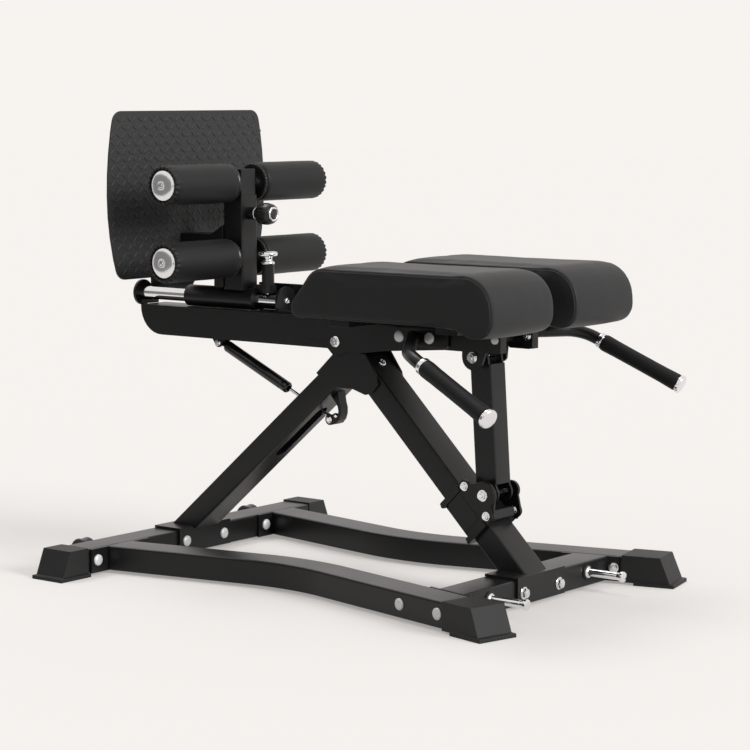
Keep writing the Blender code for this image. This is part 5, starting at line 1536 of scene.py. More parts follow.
@dataclass
class ThighPads:
    """Two upholstered cushions: a flat panel each side, and one panel over tail, top and nose."""

    shop: Workshop
    inner_y: float = 0.037
    outer_y: float = 0.240
    base_z: float = 0.544
    top_z: float = 0.642
    rear_x: float = -0.0245
    front_x: float = 0.4545
    flat_x: float = 0.347
    nose_z: float = 0.5255
    nose_radius: float = 0.066
    crown: float = 0.0022
    edge: float = 0.0060
    points: int = 150
    swell_cap: float = 0.0026
    seam_depth: float = 0.0020
    welt: float = 0.0009
    seam_angle: float = 28.0
    stitch_rings: int = 3

    def build(self) -> None:
        """Make both pads."""
        for side, sign in SIDES:
            rings, seams = self.rings(sign)
            mesh = self.closed(rings)
            points = [v.co.copy() for v in mesh.verts]
            data = self.shop.smooth_mesh(f"{side}_pad_form", mesh, 180.0)
            pad = bpy.data.objects.new(f"{side}_thigh_cushion", data)
            bpy.context.scene.collection.objects.link(pad)
            self.inflate(pad, points)
            self.press_seams(pad, seams, sign)
            data.materials.append(self.shop.coat(VINYL))
            levels = pad.modifiers.new("smooth", "SUBSURF")
            levels.levels = 1
            levels.render_levels = 1
            self.shop.hand_over(pad, VINYL, Body.BEAM, [f"{side}_thigh_pad"])
            self.stitch(side, pad, seams[0])
            self.lay_welts(side, pad, seams)

    def outline(self) -> list[Vector]:
        """Give the pad's side view, evenly spaced."""
        rear, front, base, top = self.rear_x, self.front_x, self.base_z, self.top_z
        corners = [(rear + 0.0125, base), (self.flat_x, base), (self.flat_x + 0.023, base - 0.004),
                   (self.flat_x + 0.053, self.nose_z), (front, self.nose_z), (front, top),
                   (rear + 0.0585, top), (rear, base + 0.022)]
        radii = [0.009, 0.0, 0.03, 0.04, 0.036, self.nose_radius, 0.045, 0.020]
        return spaced(rounded_outline(corners, radii), self.points)

    def rings(self, sign: float) -> tuple[list[list[Vector]], list[int]]:
        """Give the pad's rings from its outer side to its inner side.

        Args:
            sign: 1 for the left pad, -1 for the right.

        Returns:
            The rings, and the numbers of the two seam rings.
        """
        outline = self.outline()
        middle = sum(outline, Vector((0.0, 0.0))) / len(outline)
        width = self.outer_y - self.inner_y
        angles = (0.0, 10.0, 20.0, self.seam_angle, 36.0, 52.0, 70.0, 90.0)
        corner = [(self.edge * (1 - math.cos(math.radians(a))),
                   self.edge * (1 - math.sin(math.radians(a)))) for a in angles]
        panel = [(0.0, share) for share in (0.80, 0.55, 0.32, 0.16, 0.06)]
        spans = np.linspace(self.edge, width - self.edge, 24)[1:-1]
        stations = [("panel", 0.0, share) for _, share in panel]
        stations += [("edge", depth, inset) for depth, inset in corner]
        stations += [("span", float(depth), 0.0) for depth in spans]
        stations += [("edge", width - depth, inset) for depth, inset in reversed(corner)]
        stations += [("panel", width, share) for _, share in reversed(panel)]
        rings = []
        for kind, depth, value in stations:
            share = (depth / width - 0.5) * 2
            lift = self.crown * max(1 - share * share, 0.0) if kind == "span" else 0.0
            ring = []
            for point in outline:
                spine = Vector((min(max(point.x, self.rear_x + 0.07), self.front_x - 0.06),
                                middle.y))
                away = (spine - point)
                if kind == "panel":
                    moved = point + away.normalized() * self.edge
                    moved = moved.lerp(spine, value)
                else:
                    moved = point + away.normalized() * (value - lift)
                if moved.x < self.flat_x + 0.0003 and point.y < self.base_z + 0.001:
                    moved.y = max(moved.y, self.base_z)
                ring.append(at(moved.x, sign * (self.outer_y - depth), moved.y))
            rings.append(ring)
        first = len(panel) + angles.index(self.seam_angle)
        return rings, [first, len(rings) - 1 - first]

    @staticmethod
    def closed(rings: list[list[Vector]]) -> bmesh.types.BMesh:
        """Skin the rings and split the two end faces."""
        mesh = skin(rings)
        ends = [face for face in mesh.faces if len(face.verts) > 4]
        bmesh.ops.triangulate(mesh, faces=ends, ngon_method="BEAUTY")
        return mesh

    def inflate(self, pad: bpy.types.Object, rest: list[Vector]) -> None:
        """Blow the cover up a little over its base, with each point's move held.

        Args:
            pad: The pad, whose mesh is changed.
            rest: Where its points were.
        """
        mesh = pad.data
        group = pad.vertex_groups.new(name="base")
        held = [i for i, p in enumerate(rest)
                if p.z < self.base_z + 0.0008 and p.x < self.flat_x + DATUM_X]
        group.add(held, 1.0, "REPLACE")
        cloth = pad.modifiers.new("cloth", "CLOTH")
        settings = cloth.settings
        settings.vertex_group_mass = "base"
        settings.quality = 6
        settings.mass = 0.3
        settings.tension_stiffness = 40.0
        settings.compression_stiffness = 40.0
        settings.shear_stiffness = 20.0
        settings.bending_stiffness = 3.0
        settings.use_pressure = True
        settings.uniform_pressure_force = 4.0
        settings.effector_weights.gravity = 0.0
        cloth.point_cache.frame_start = 1
        cloth.point_cache.frame_end = 20
        scene = bpy.context.scene
        for step in range(1, 21):
            scene.frame_set(step)
        graph = bpy.context.evaluated_depsgraph_get()
        swollen = pad.evaluated_get(graph).to_mesh()
        moves = [swollen.vertices[i].co - rest[i] for i in range(len(rest))]
        largest = max(move.length for move in moves)
        for vertex, start, move in zip(mesh.vertices, rest, moves):
            length = move.length
            allowed = self.swell_cap * math.tanh(length / self.swell_cap)
            vertex.co = start + move * (allowed / length if length > HAIR else 0)
        pad.evaluated_get(graph).to_mesh_clear()
        pad.modifiers.remove(cloth)
        pad.vertex_groups.clear()
        scene.frame_set(1)
        LOG.info("%s swelled by up to %.1f mm before the cap", pad.name, largest * 1000)

    def press_seams(self, pad: bpy.types.Object, seams: list[int], sign: float) -> None:
        """Pull the seams in, pucker the cover beside them, and hold it to its space."""
        mesh = pad.data
        count = self.points
        normals = [v.normal.copy() for v in mesh.vertices]
        for seam in seams:
            for step, share in ((-1, 0.30), (0, 1.0), (1, 0.30)):
                for index in range(count):
                    vertex = mesh.vertices[(seam + step) * count + index]
                    vertex.co -= normals[vertex.index] * self.seam_depth * share
        for vertex in mesh.vertices:
            wave = noise.noise(vertex.co * 26.0) * 0.00035 + noise.noise(vertex.co * 75.0) * 0.00012
            vertex.co += normals[vertex.index] * wave
            if vertex.co.x < self.flat_x + DATUM_X:
                vertex.co.z = max(vertex.co.z, self.base_z + 0.0001)
            across = sign * vertex.co.y
            vertex.co.y = sign * min(max(across, self.inner_y - 0.0020), self.outer_y + 0.0020)
            vertex.co.z = min(vertex.co.z, self.top_z + self.crown + 0.0015)

    def lay_welts(self, side: str, pad: bpy.types.Object, seams: list[int]) -> None:
        """Lay a thin welt in each seam, where the side panel meets the top panel."""
        mesh = pad.data
        welts = []
        for seam in seams:
            ring = [mesh.vertices[seam * self.points + i] for i in range(self.points)]
            middle = [v.co + v.normal * self.welt * 0.4 for v in ring]
            loops = []
            for index, point in enumerate(middle):
                ahead = (middle[(index + 1) % self.points] - middle[index - 1]).normalized()
                rise = ALONG_Y.cross(ahead).normalized()
                loops.append(circle(point, ALONG_Y, rise, self.welt, 8))
            welts.append(skin(loops, loop=True))
        self.shop.piece(f"{side}_pad_welts", joined(welts), THREAD, Body.BEAM, crease=60.0)

    def stitch(self, side: str, pad: bpy.types.Object, seam: int) -> None:
        """Run a row of stitches along the top panel's side of the outer seam."""
        first = (seam + self.stitch_rings) * self.points
        ring = [pad.data.vertices[first + i] for i in range(self.points)]
        line = [v.co + v.normal * 0.0001 for v in ring if v.co.z > self.base_z + 0.004]
        self.shop.set_ribs(f"{side}_pad_stitches", [line], False, {
            "Pitch": 0.0044, "Length": 0.0030, "Width": 0.0007, "Height": 0.0007,
            "Soften": 0.6}, THREAD, Body.BEAM)


@dataclass
class Handles:
    """The bent handles with their plates, grips, rings and end caps."""

    shop: Workshop
    tube: float = 0.0125
    root: Vector = field(default_factory=lambda: Vector((0.130, 0.0489, 0.4985)))
    corner: Vector = field(default_factory=lambda: Vector((0.3018, 0.2889, 0.4985)))
    end: Vector = field(default_factory=lambda: Vector((0.505, 0.3270, 0.4020)))
    bend: float = 0.075
    grip: float = 0.0172
    grip_length: float = 0.180
    cap: float = 0.0187
    cap_length: float = 0.010
    plate_y: float = 0.04845
    plate: float = 0.005
    plate_rear: float = 0.078
    plate_length: float = 0.142
    plate_height: float = 0.034
    bolts: tuple[Point2, ...] = ((0.1020, 0.5000), (0.1752, 0.5006))
    dome: float = 0.0115

    def build(self) -> None:
        """Make both handles."""
        domes = []
        for side, sign in SIDES:
            self.bend_tube(side, sign)
            self.fit_grip(side, sign)
            face = self.plate_y + self.plate
            domes += [Fastener(at(x, sign * face, z), ALONG_Y * sign, self.dome)
                      for x, z in self.bolts]
        self.shop.set_fasteners("handle_dome_bolts", FastenerKind.DOME, Body.BEAM, domes, ZINC)

    def path(self, sign: float) -> list[Vector]:
        """Give the handle's centre line."""
        root, corner, end = (at(p.x, sign * p.y, p.z) for p in (self.root, self.corner, self.end))
        back = (root - corner).normalized()
        ahead = (end - corner).normalized()
        half = back.angle(ahead) / 2
        centre = corner + (back + ahead).normalized() * self.bend / math.sin(half)
        tangent = self.bend / math.tan(half)
        start = corner + back * tangent - centre
        normal = start.cross(corner + ahead * tangent - centre).normalized()
        turn = start.angle(corner + ahead * tangent - centre)
        arc = [centre + Matrix.Rotation(turn * i / 20, 3, normal) @ start for i in range(21)]
        return [root, *arc, end]

    def bend_tube(self, side: str, sign: float) -> None:
        """Bend the tube along its path and weld it to its plate."""
        path = self.path(sign)
        rings = []
        for index, point in enumerate(path):
            before = path[max(index - 1, 0)]
            after = path[min(index + 1, len(path) - 1)]
            ahead = (after - before).normalized()
            across = ahead.cross(ALONG_Z).normalized()
            rise = across.cross(ahead).normalized()
            rings.append(circle(point, across, rise, self.tube, 36))
        first = rings[0]
        ahead = (path[1] - path[0]).normalized()
        wall = sign * (self.plate_y + 0.001)
        rings[0] = [p + ahead * ((wall - p.y) / ahead.y) for p in first]
        tube = skin(rings)
        rear, low = self.plate_rear, self.root.z + 0.002 - self.plate_height / 2
        outline = rounded_outline(
            [(rear, low), (rear + self.plate_length, low),
             (rear + self.plate_length, low + self.plate_height), (rear, low + self.plate_height)],
            [0.006] * 4)
        inner, outer = sign * self.plate_y, sign * (self.plate_y + self.plate)
        soft = 0.0008
        levels = ((inner, 0.0), (outer - sign * soft, 0.0), (outer - sign * soft * 0.3, soft * 0.4),
                  (outer, soft))
        middle = sum(outline, Vector((0.0, 0.0))) / len(outline)
        plate = skin([[at(*self.inset(p, middle, pull, y)) for p in outline]
                      for y, pull in levels])
        weld = self.weld_bead(sign)
        self.shop.piece(f"{side}_handle_bent", joined([tube, plate, weld]), COAT, Body.BEAM,
                        [f"{side}_handle"], weighted=True)

    @staticmethod
    def inset(point: Vector, middle: Vector, pull: float, y: float
              ) -> tuple[float, float, float]:
        """Move an outline's point towards its middle, at a place across the machine."""
        moved = point + (middle - point).normalized() * pull
        return moved.x, y, moved.y

    def weld_bead(self, sign: float) -> bmesh.types.BMesh:
        """Lay a rippled weld bead where the tube meets its plate."""
        path = self.path(sign)
        ahead = (path[1] - path[0]).normalized()
        face = sign * (self.plate_y + self.plate)
        rings = []
        across = ahead.cross(ALONG_Z).normalized()
        rise = across.cross(ahead).normalized()
        for index in range(72):
            angle = 2 * math.pi * index / 72
            point = path[0] + (across * math.cos(angle) + rise * math.sin(angle)) * self.tube
            point = point + ahead * ((face - point.y) / ahead.y)
            out = (across * math.cos(angle) + rise * math.sin(angle)).normalized()
            out = (out - ALONG_Y * out.y).normalized()
            bead = 0.0018 + 0.0003 * math.sin(angle * 18)
            rings.append(circle(point, out, ALONG_Y * sign, bead, 8))
        return skin(rings, loop=True)

    def fit_grip(self, side: str, sign: float) -> None:
        """Slide the ring and grip on, and close the end with its cap."""
        corner, end = (at(p.x, sign * p.y, p.z) for p in (self.corner, self.end))
        ahead = (end - corner).normalized()
        start = end - ahead * self.grip_length
        bore = self.tube + 0.0002
        ring = [(bore, -0.005), (self.grip - 0.0012, -0.005), (self.grip - 0.0008, -0.0035),
                (self.grip - 0.0008, 0.0030), (self.grip - 0.0012, 0.0040), (bore, 0.0040)]
        self.shop.turn(f"{side}_ring_turned", ring, (0.0006, 2), start, ahead, 48,
                       CHROME, Body.BEAM, [f"{side}_grip_ring"], loop=True)
        length = self.grip_length
        sleeve = [(bore, 0.0048), (self.grip - 0.0022, 0.0048), (self.grip - 0.0006, 0.0065),
                  (self.grip - 0.0002, 0.012), (self.grip - 0.0009, 0.035),
                  (self.grip - 0.0011, length * 0.5), (self.grip - 0.0009, length - 0.035),
                  (self.grip - 0.0001, length - 0.010), (self.grip, length - 0.004),
                  (self.grip - 0.0010, length - 0.0010), (bore, length - 0.0006)]
        self.shop.turn(f"{side}_grip_moulded", sleeve, (0.002, 3), start, ahead, 48,
                       GRIP_RUBBER, Body.BEAM, [f"{side}_grip"], loop=True)
        cap = [(0.0, 0.0004), (self.cap - 0.0012, 0.0004), (self.cap, 0.0016),
               (self.cap, self.cap_length - 0.0030), (self.cap - 0.0011, self.cap_length - 0.0012),
               (self.cap - 0.0032, self.cap_length - 0.0004), (self.cap * 0.5, self.cap_length),
               (0.0, self.cap_length)]
        self.shop.turn(f"{side}_cap_turned", cap, (0.0008, 3), end, ahead, 56,
                       CHROME, Body.BEAM, [f"{side}_grip_cap"])


@dataclass
class Linkage:
    """The link, the carriage with its release bar, and the gas spring."""

    shop: Workshop
    foot: Vector = field(default_factory=lambda: at(0.3010, 0.0, 0.2050))
    clamp_bolt: Vector = field(default_factory=lambda: at(0.2576, 0.0, 0.2187))
    release: Vector = field(default_factory=lambda: at(0.3097, 0.0, 0.1657))
    cheek_y: float = 0.0474
    strut_run: float = 0.1531
    cheek_rise: float = 0.0028
    bosses: dict[str, float] = field(default_factory=lambda: {"left": 0.0185, "right": 0.0268})
    nut_lobe: float = 0.0128
    bar_half: Point2 = (0.0092, 0.0108)
    spring_foot: Vector = field(default_factory=lambda: at(-0.108, 0.0, 0.3144))
    cylinder: float = 0.012
    cylinder_length: float = 0.2008
    bore: float = 0.0065
    bore_depth: float = 0.125
    rod: float = 0.004
    rod_length: float = 0.165

    def build(self) -> None:
        """Make the linkage."""
        self.shop.coated("link", Body.LINK, edge=0.0009)
        self.shop.coated("carriage_sleeve", Body.CARRIAGE, edge=0.0007)
        self.shop.coated("carriage_pivot_bolt", Body.CARRIAGE, CHROME, edge=0.0005)
        self.dress_cheeks()
        self.make_release_bar()
        self.set_nuts()
        self.make_spring()

    def clamp(self, distance: float, depth: float) -> Vector:
        """Give a place beside the strut, in side view.

        Args:
            distance: Distance down the strut from the carriage's middle.
            depth: Distance ahead of the strut's middle line.

        Returns:
            The place's x and z.
        """
        down = Vector((math.cos(STRUT_ANGLE), -math.sin(STRUT_ANGLE)))
        ahead = Vector((math.sin(STRUT_ANGLE), math.cos(STRUT_ANGLE)))
        return Vector(STRUT_FOOT) + down * (distance - self.strut_run) + ahead * depth

    @staticmethod
    def plate(outline: Sequence[Vector], low: float, high: float, soft: float
              ) -> bmesh.types.BMesh:
        """Make a plate from its side view, with its outer edge softened.

        Args:
            outline: Its side view.
            low: Where its inner face lies across the machine.
            high: Where its outer face lies.
            soft: Radius of its outer edge.

        Returns:
            The plate.
        """
        middle = sum(outline, Vector((0.0, 0.0))) / len(outline)
        step = math.copysign(soft, high - low)
        rings = []
        for y, pull in ((low, 0.0), (high - step, 0.0), (high - step * 0.3, soft * 0.3),
                        (high, soft)):
            ring = [p + (middle - p).normalized() * pull for p in outline]
            rings.append([at(p.x, y, p.y) for p in ring])
        return skin(rings)

    def lobe(self, distance: float, depth: float, radius: float, start: float, end: float
             ) -> list[Vector]:
        """Give an arc beside the strut, from one heading to another, in degrees."""
        centre = self.clamp(distance, depth)
        steps = 14
        return [centre + self.heading(start + (end - start) * i / steps) * radius
                for i in range(steps + 1)]

    def heading(self, degrees: float) -> Vector:
        """Give a direction beside the strut; 0 is down it and 90 is ahead of it."""
        origin = self.clamp(0.0, 0.0)
        angle = math.radians(degrees)
        return self.clamp(math.cos(angle), math.sin(angle)) - origin

    def dress_cheeks(self) -> None:
        """Lay the raised cheeks, the collars' straps and the pressed panels on the carriage."""
        parts = []
        for side, sign in SIDES:
            boss = self.bosses[side]
            cheek = [self.clamp(-0.0485, 0.0290), self.clamp(0.0530, 0.0290)]
            cheek += self.lobe(0.0400, 0.0395, self.nut_lobe, -20.0, 65.0)
            cheek += self.lobe(0.0035, 0.0606, boss, 0.0, 165.0)
            cheek += self.lobe(-0.0368, 0.0395, self.nut_lobe, 75.0, 180.0)
            face = sign * self.cheek_y
            parts.append(self.plate(cheek, face - sign * 0.0006, face + sign * self.cheek_rise,
                                    0.0008))
            for end in (-1.0, 1.0):
                strap = rounded_outline(
                    [self.clamp(end * 0.0375, -0.0315), self.clamp(end * 0.0375, 0.0265),
                     self.clamp(end * 0.0500, 0.0265), self.clamp(end * 0.0500, -0.0315)],
                    [0.002] * 4, 3)
                parts.append(self.plate(strap, face - sign * 0.0060,
                                        face + sign * self.cheek_rise, 0.0012))
            panel = rounded_outline(
                [self.clamp(-0.0290, -0.0225), self.clamp(-0.0290, 0.0205),
                 self.clamp(0.0290, 0.0205), self.clamp(0.0290, -0.0225)], [0.003] * 4, 3)
            parts.append(self.plate(panel, face - sign * 0.0060, face + sign * 0.0007, 0.0006))
        self.shop.piece("carriage_cheek_plates", joined(parts), COAT, Body.CARRIAGE, weighted=True)
        spacer = turned([(0.0, -0.0412), (0.0050, -0.0412), (0.0050, 0.0412), (0.0, 0.0412)],
                        self.foot, ALONG_Y, 32)
        self.shop.piece("carriage_spacer", spacer, COAT, Body.CARRIAGE)

    def make_release_bar(self) -> None:
        """Make the flat release bar between the cheeks, with its studs."""
        half_x, half_z = self.bar_half
        centre = self.release
        outline = rounded_outline([(-half_x, -half_z), (half_x, -half_z), (half_x, half_z),
                                   (-half_x, half_z)], [0.0050] * 4, 5)
        near, far, soft = -0.0412, 0.0300, 0.0012
        rings = [[centre + Vector((p.x * pull, y, p.y * pull)) for p in outline]
                 for y, pull in ((near, 0.86), (near + soft * 0.3, 0.96), (near + soft, 1.0),
                                 (far - soft, 1.0), (far - soft * 0.3, 0.96), (far, 0.86))]
        stud = turned([(0.0, -0.0500), (0.0040, -0.0500), (0.0040, 0.0500), (0.0, 0.0500)],
                      centre, ALONG_Y, 24)
        self.shop.piece("release_bar_flat", joined([skin(rings), stud]), COAT, Body.RELEASE,
                        ["release_bar"], weighted=True)

    def set_nuts(self) -> None:
        """Set the nuts of the carriage and of its release bar."""
        nuts, pulls = [], []
        for _, sign in SIDES:
            facing = ALONG_Y * sign
            face = self.cheek_y + self.cheek_rise
            nuts.append(Fastener(self.foot + facing * face, facing, 0.0112, 0.5))
            nuts.append(Fastener(self.clamp_bolt + facing * face, facing, 0.0088, 0.2))
            pulls.append(Fastener(self.release + facing * (face + 0.0004), facing, 0.0088, 0.6))
        pulls.append(Fastener(self.release + ALONG_Y * 0.0405, -ALONG_Y, 0.0088, 0.1))
        self.shop.set_fasteners("carriage_nuts", FastenerKind.HEX_NUT, Body.CARRIAGE, nuts)
        self.shop.set_fasteners("release_nuts", FastenerKind.HEX_NUT, Body.RELEASE, pulls)

    def make_spring(self) -> None:
        """Turn the gas spring's cylinder and rod."""
        along = (self.spring_foot - SPRING_TOP).normalized()
        length, radius = self.cylinder_length, self.cylinder
        outside = [(0.0, 0.0085), (0.0062, 0.0085), (0.0066, 0.0135), (0.0098, 0.0160),
                   (radius, 0.0195), (radius, length - 0.0190), (radius - 0.0009, length - 0.0180),
                   (radius - 0.0009, length - 0.0165), (radius, length - 0.0155),
                   (radius, length - 0.0035), (radius - 0.0024, length), (self.bore, length),
                   (self.bore, length - self.bore_depth), (0.0, length - self.bore_depth)]
        eye = self.eye(SPRING_TOP)
        body = turned(eased(outside, 0.0008, 2), SPRING_TOP, along, 48)
        self.shop.piece("spring_cylinder_turned", joined([body, eye]), GLOSS,
                        Body.SPRING_CYLINDER, ["gas_cylinder"])
        rod = turned([(0.0, 0.006), (0.0058, 0.006), (0.0058, 0.0145), (0.0050, 0.0160),
                      (self.rod, 0.0168), (self.rod, self.rod_length - 0.0010),
                      (self.rod - 0.0005, self.rod_length), (0.0, self.rod_length)],
                     self.spring_foot, -along, 32)
        self.shop.piece("spring_rod_turned", joined([rod, self.eye(self.spring_foot)]), CHROME,
                        Body.SPRING_ROD, ["gas_rod"])

    def eye(self, centre: Vector) -> bmesh.types.BMesh:
        """Make an eye with a bolt hole."""
        ring = [(0.0044, -0.0075), (0.0080, -0.0075), (0.0090, -0.0060), (0.0090, 0.0060),
                (0.0080, 0.0075), (0.0044, 0.0075)]
        return turned(eased(ring, 0.0006, 2, True), centre, ALONG_Y, 32, True)


@dataclass
class FootCarriage:
    """The sliding post with its foot plate, height tube, knob and pin."""

    shop: Workshop
    plate_x: float = -0.4975
    plate_low: float = 0.591
    plate_high: float = 0.9355
    waist_y: float = 0.2435
    top_y: float = 0.2225
    bottom_y: float = 0.2145
    corner: float = 0.026
    lozenge_pitch: float = 0.0160
    lozenge_rise: float = 0.0010
    tread_margin: float = 0.0055
    knob: Vector = field(default_factory=lambda: at(-0.3117, 0.0, 0.7252))
    knob_length: float = 0.050
    knob_radius: float = 0.0225
    pin: Vector = field(default_factory=lambda: at(-0.2795, 0.0, 0.548))

    def build(self) -> None:
        """Make the carriage."""
        self.shop.coated("foot_carriage", Body.FOOT_SLIDER, edge=0.0006)
        self.shop.coated("foot_plate_arm", Body.FOOT_SLIDER, edge=0.0008)
        self.shop.coated("height_tube", Body.HEIGHT_SLIDER, edge=0.0006)
        self.shop.coated("foot_plate", Body.FOOT_SLIDER, TREAD, edge=0.0010)
        self.lay_tread()
        self.make_knob()
        self.make_pin()

    def lay_tread(self) -> None:
        """Lay the tread's lozenges on the face of the foot plate."""
        craft = TreadCraft()
        lozenge = self.shop.pattern("lozenge", self.lozenge())
        middle_z = (self.plate_low + self.plate_high) / 2
        base = bpy.data.meshes.new("tread_base")
        tread = craft.run("foot_plate_tread", base, {
            "Middle": tuple(at(self.plate_x, 0.0, middle_z)), "Waist": self.waist_y,
            "Top": self.top_y, "Bottom": self.bottom_y,
            "Half Height": (self.plate_high - self.plate_low) / 2, "Corner": self.corner,
            "Margin": self.tread_margin, "Pitch": self.lozenge_pitch, "Lozenge": lozenge,
            "Finish": self.shop.coat(TREAD)})
        self.shop.hand_over(tread, TREAD, Body.FOOT_SLIDER)

    def lozenge(self) -> bmesh.types.BMesh:
        """Make one raised lozenge, lying in the YZ plane and rising along X."""
        long, wide, rise = self.lozenge_pitch * 0.56, self.lozenge_pitch * 0.20, self.lozenge_rise
        rings = []
        for height, share in ((-0.0002, 1.0), (rise * 0.55, 0.80), (rise, 0.42)):
            ring = []
            for index in range(12):
                angle = 2 * math.pi * index / 12
                taper = 1.0 - 0.35 * abs(math.cos(angle)) ** 3
                ring.append(Vector((height, long * share ** 0.5 * math.cos(angle),
                                    wide * share * math.sin(angle) * taper)))
            rings.append(ring)
        return skin(rings)

    def make_knob(self) -> None:
        """Mould the fluted knob round its plunger, with a chrome ring in its face."""
        length, radius = self.knob_length, self.knob_radius
        profile = [(0.0, -0.0183), (0.0040, -0.0183), (0.0040, 0.0), (0.0086, 0.0),
                   (0.0086, 0.0040), (0.0112, 0.0052), (0.0120, 0.0080), (radius - 0.0060, 0.0110),
                   (radius - 0.0015, 0.0150), (radius, 0.0230), (radius, length - 0.0170),
                   (radius - 0.0020, length - 0.0080), (radius - 0.0050, length - 0.0030),
                   (radius - 0.0066, length - 0.0020), (radius - 0.0070, length - 0.0050),
                   (0.0, length - 0.0050)]

        def flute(angle: float, distance: float) -> float:
            """Press flutes into the knob's widest part."""
            along = max(0.0, 1.0 - abs(distance - 0.026) / 0.014)
            return -0.0013 * along * (0.5 + 0.5 * math.cos(angle * 14)) ** 2

        body = turned(eased(profile, 0.0016, 3), self.knob, ALONG_X, 112, swell=flute)
        self.shop.piece("knob_moulded", body, PLASTIC, Body.KNOB, ["height_knob"])
        face = self.knob + ALONG_X * length
        ring = [(0.0104, -0.0056), (0.0150, -0.0056), (0.0152, -0.0016), (0.0146, -0.0003),
                (0.0128, 0.0), (0.0110, -0.0008), (0.0104, -0.0020)]
        self.shop.turn("knob_face_ring", ring, (0.0006, 2), face, ALONG_X, 56,
                       CHROME, Body.KNOB, loop=True)
        button = [(0.0, -0.0054), (0.0102, -0.0054), (0.0100, -0.0022), (0.0080, -0.0012),
                  (0.0, -0.0007)]
        self.shop.turn("knob_button", button, (0.0012, 3), face, ALONG_X, 40,
                       PLASTIC, Body.KNOB)
        ring = [(0.0090, 0.0001), (0.0122, 0.0001), (0.0126, 0.0010), (0.0126, 0.0028),
                (0.0120, 0.0036), (0.0090, 0.0036)]
        nut = turned(ring, self.knob, ALONG_X, 108, True,
                     lambda angle, _: 0.0005 * math.cos(angle * 18))
        self.shop.piece("knob_lock_nut", nut, CHROME, Body.FOOT_SLIDER)

    def make_pin(self) -> None:
        """Turn the pop pin's mushroom head, its collar and its stem."""
        neck = 0.0743
        top = 0.101
        profile = [(0.0, 0.0), (0.0035, 0.0), (0.0045, 0.0020), (0.0045, neck), (0.0138, neck),
                   (0.0142, neck + 0.0020), (0.0136, neck + 0.0048), (0.0096, neck + 0.0062),
                   (0.0088, neck + 0.0090), (0.0092, top - 0.0125), (0.0130, top - 0.0108),
                   (0.0192, top - 0.0096), (0.0204, top - 0.0070), (0.0204, top - 0.0050),
                   (0.0188, top - 0.0016), (0.0120, top - 0.0002), (0.0, top)]
        self.shop.turn("pin_turned", profile, (0.0010, 3), self.pin, ALONG_Z, 56,
                       CHROME, Body.PIN, ["slide_pin"])
        ring = [(0.0052, 0.0705), (0.0122, 0.0705), (0.0126, 0.0739), (0.0052, 0.0739)]
        self.shop.turn("pin_housing_rim", ring, (0.0006, 2), self.pin, ALONG_Z, 48,
                       PLASTIC, Body.FOOT_SLIDER, loop=True)


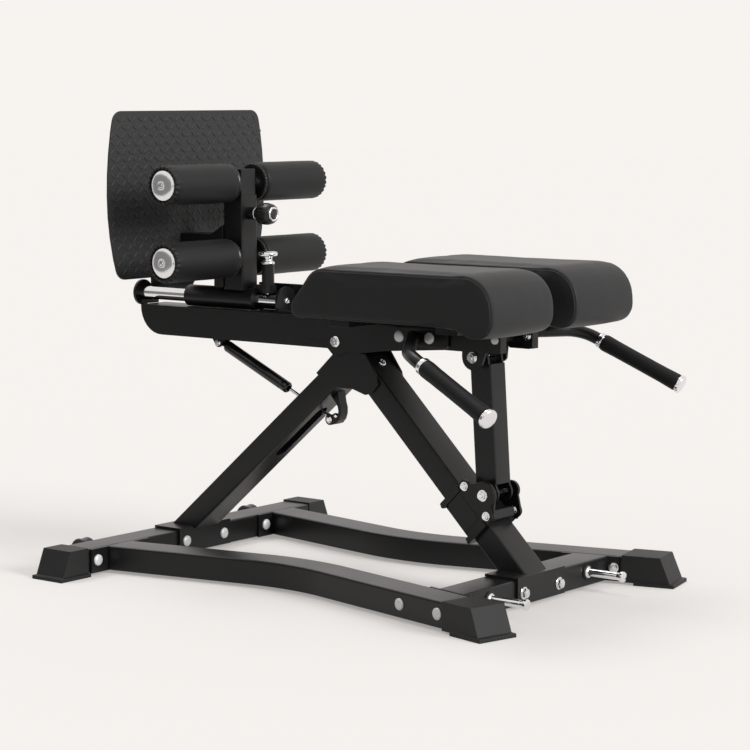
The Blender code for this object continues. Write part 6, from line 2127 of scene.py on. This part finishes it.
@dataclass
class Rollers:
    """Four foam rollers on two axles, with chrome caps and a ribbed ring at each inner end."""

    shop: Workshop
    post_x: float = -0.354
    heights: dict[str, float] = field(default_factory=lambda: {"lower": 0.633, "upper": 0.788})
    radius: float = 0.0405
    inner: float = 0.0385
    length: float = 0.198
    ring: float = 0.0387
    ring_depth: float = 0.0055
    axle: float = 0.006
    cap: float = 0.0322
    cap_depth: float = 0.0060
    cap_recess: float = 0.0058
    lip: float = 0.0357
    pleats: int = 24
    pleat_run: float = 0.0080
    pleat_depth: float = 0.0030

    def build(self) -> None:
        """Make every roller and both axles."""
        bodies = {("lower", "left"): Body.LOWER_LEFT, ("lower", "right"): Body.LOWER_RIGHT,
                  ("upper", "left"): Body.UPPER_LEFT, ("upper", "right"): Body.UPPER_RIGHT}
        for level, height in self.heights.items():
            centre = at(self.post_x, 0.0, height)
            carrier = Body.FOOT_SLIDER if level == "lower" else Body.HEIGHT_SLIDER
            self.make_axle(level, centre, carrier)
            for side, sign in SIDES:
                self.make_roller(f"{level}_{side}", centre, sign, bodies[level, side])

    def make_roller(self, name: str, centre: Vector, sign: float, body: Body) -> None:
        """Make the foam tube and the ribbed ring at its inner end.

        Args:
            name: The roller's name.
            centre: The middle of its axle.
            sign: 1 on the left, -1 on the right.
            body: What it rides on.
        """
        bore = self.axle + 0.0004
        low, high = self.inner + self.ring_depth, self.inner + self.length
        soft = 0.0085
        gather = self.pleat_run
        shape = [(bore, low), (self.radius - soft, low)]
        shape += [(self.radius - soft * (1 - math.sin(a)), low + soft * (1 - math.cos(a)))
                  for a in np.linspace(0.26, math.pi / 2, 6)]
        shape += [(self.radius, float(z)) for z in np.linspace(low + soft, high - gather, 14)[1:-1]]
        shape += [(self.lip + (self.radius - self.lip) * math.cos(a) ** 0.6,
                   high - gather * (1 - math.sin(a))) for a in np.linspace(0.0, 1.55, 12)]
        shape += [(self.lip - 0.0008, high - 0.0008), (self.lip - 0.0012, high - self.cap_recess),
                  (bore, high - self.cap_recess)]
        seed = Vector((centre.z * 40, sign * 9, 3.0))

        def dent(angle: float, distance: float) -> float:
            """Let the foam's skin wander a little, and gather it in pleats at its outer end."""
            spot = Vector((math.cos(angle), math.sin(angle), distance * 22)) + seed
            share = min(max((distance - (high - gather * 1.05)) / gather, 0.0), 1.0)
            uneven = angle * self.pleats + 1.4 * noise.noise(spot * 2.5)
            fold = -self.pleat_depth * share ** 0.7 * (0.5 + 0.5 * math.cos(uneven)) ** 1.6
            return noise.noise(spot) * 0.0004 + fold

        foam = self.shop.piece(f"{name}_foam",
                               turned(shape, centre, ALONG_Y * sign, 156, True, dent),
                               FOAM, body, [f"{name}_roller"], crease=60.0)
        near, far = self.inner, low + 0.0010
        ring = [(bore, near), (self.ring - 0.0035, near), (self.ring - 0.0010, near + 0.0012),
                (self.ring - 0.0004, near + 0.0030), (self.ring - 0.0016, far), (bore, far)]
        self.shop.turn(f"{name}_end_ring", ring, (0.0006, 2), centre, ALONG_Y * sign, 72,
                       PLASTIC, body, loop=True)
        first, second = circle_frame(ALONG_Y)
        loop = circle(centre + ALONG_Y * sign * (near + 0.0017), first, second,
                      self.ring - 0.0013, 96)
        self.shop.set_ribs(f"{name}_end_ribs", [loop], True, {
            "Pitch": 0.0061, "Length": 0.0030, "Width": 0.0036, "Height": 0.0036,
            "Soften": 0.55}, PLASTIC, body)

    def make_axle(self, level: str, centre: Vector, carrier: Body) -> None:
        """Turn an axle with its collars and its two chrome caps."""
        root = 0.0253
        collar = self.inner - 0.0006
        face = self.inner + self.length + 0.0003
        cap, deep, rim = self.cap, self.cap_depth, face - self.cap_recess
        half = [(self.axle, 0.0), (self.axle, root), (0.0110, root), (0.0110, collar),
                (self.axle, collar), (self.axle, rim), (cap - 0.0012, rim),
                (cap, rim + 0.0010), (cap - 0.0006, rim + 0.0022)]
        rise = face + deep - 0.0026 - (rim + 0.0022)
        half += [(0.0105 + (cap - 0.0113) * math.cos(a), rim + 0.0022 + rise * math.sin(a))
                 for a in np.linspace(0.12, math.pi / 2, 9)]
        half += [(0.0098, face + deep - 0.0042), (0.0088, face + deep - 0.0044),
                 (0.0084, face + deep - 0.0018), (0.0072, face + deep - 0.0012),
                 (0.0062, face + deep - 0.0030), (0.0054, face + deep - 0.0030),
                 (0.0046, face + deep - 0.0006), (0.0026, face + deep), (0.0, face + deep)]
        profile = [(radius, -y) for radius, y in reversed(half[1:])] + half[1:]
        self.shop.piece(f"{level}_axle_turned", turned(profile, centre, ALONG_Y, 64),
                        SATIN_CHROME, carrier, [f"{level}_axle"], crease=40.0)


def main() -> None:
    """Build every sub-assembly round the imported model."""
    logging.basicConfig(level=logging.INFO, format="%(message)s")
    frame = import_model()
    bpy.context.scene.view_settings.view_transform = "Standard"
    Studio().build()
    shop = Workshop(frame)
    for assembly in (Base, Struts, Beam, Handles, Linkage, FootCarriage, Rollers, ThighPads):
        assembly(shop).build()


if __name__ == "__main__":
    main()
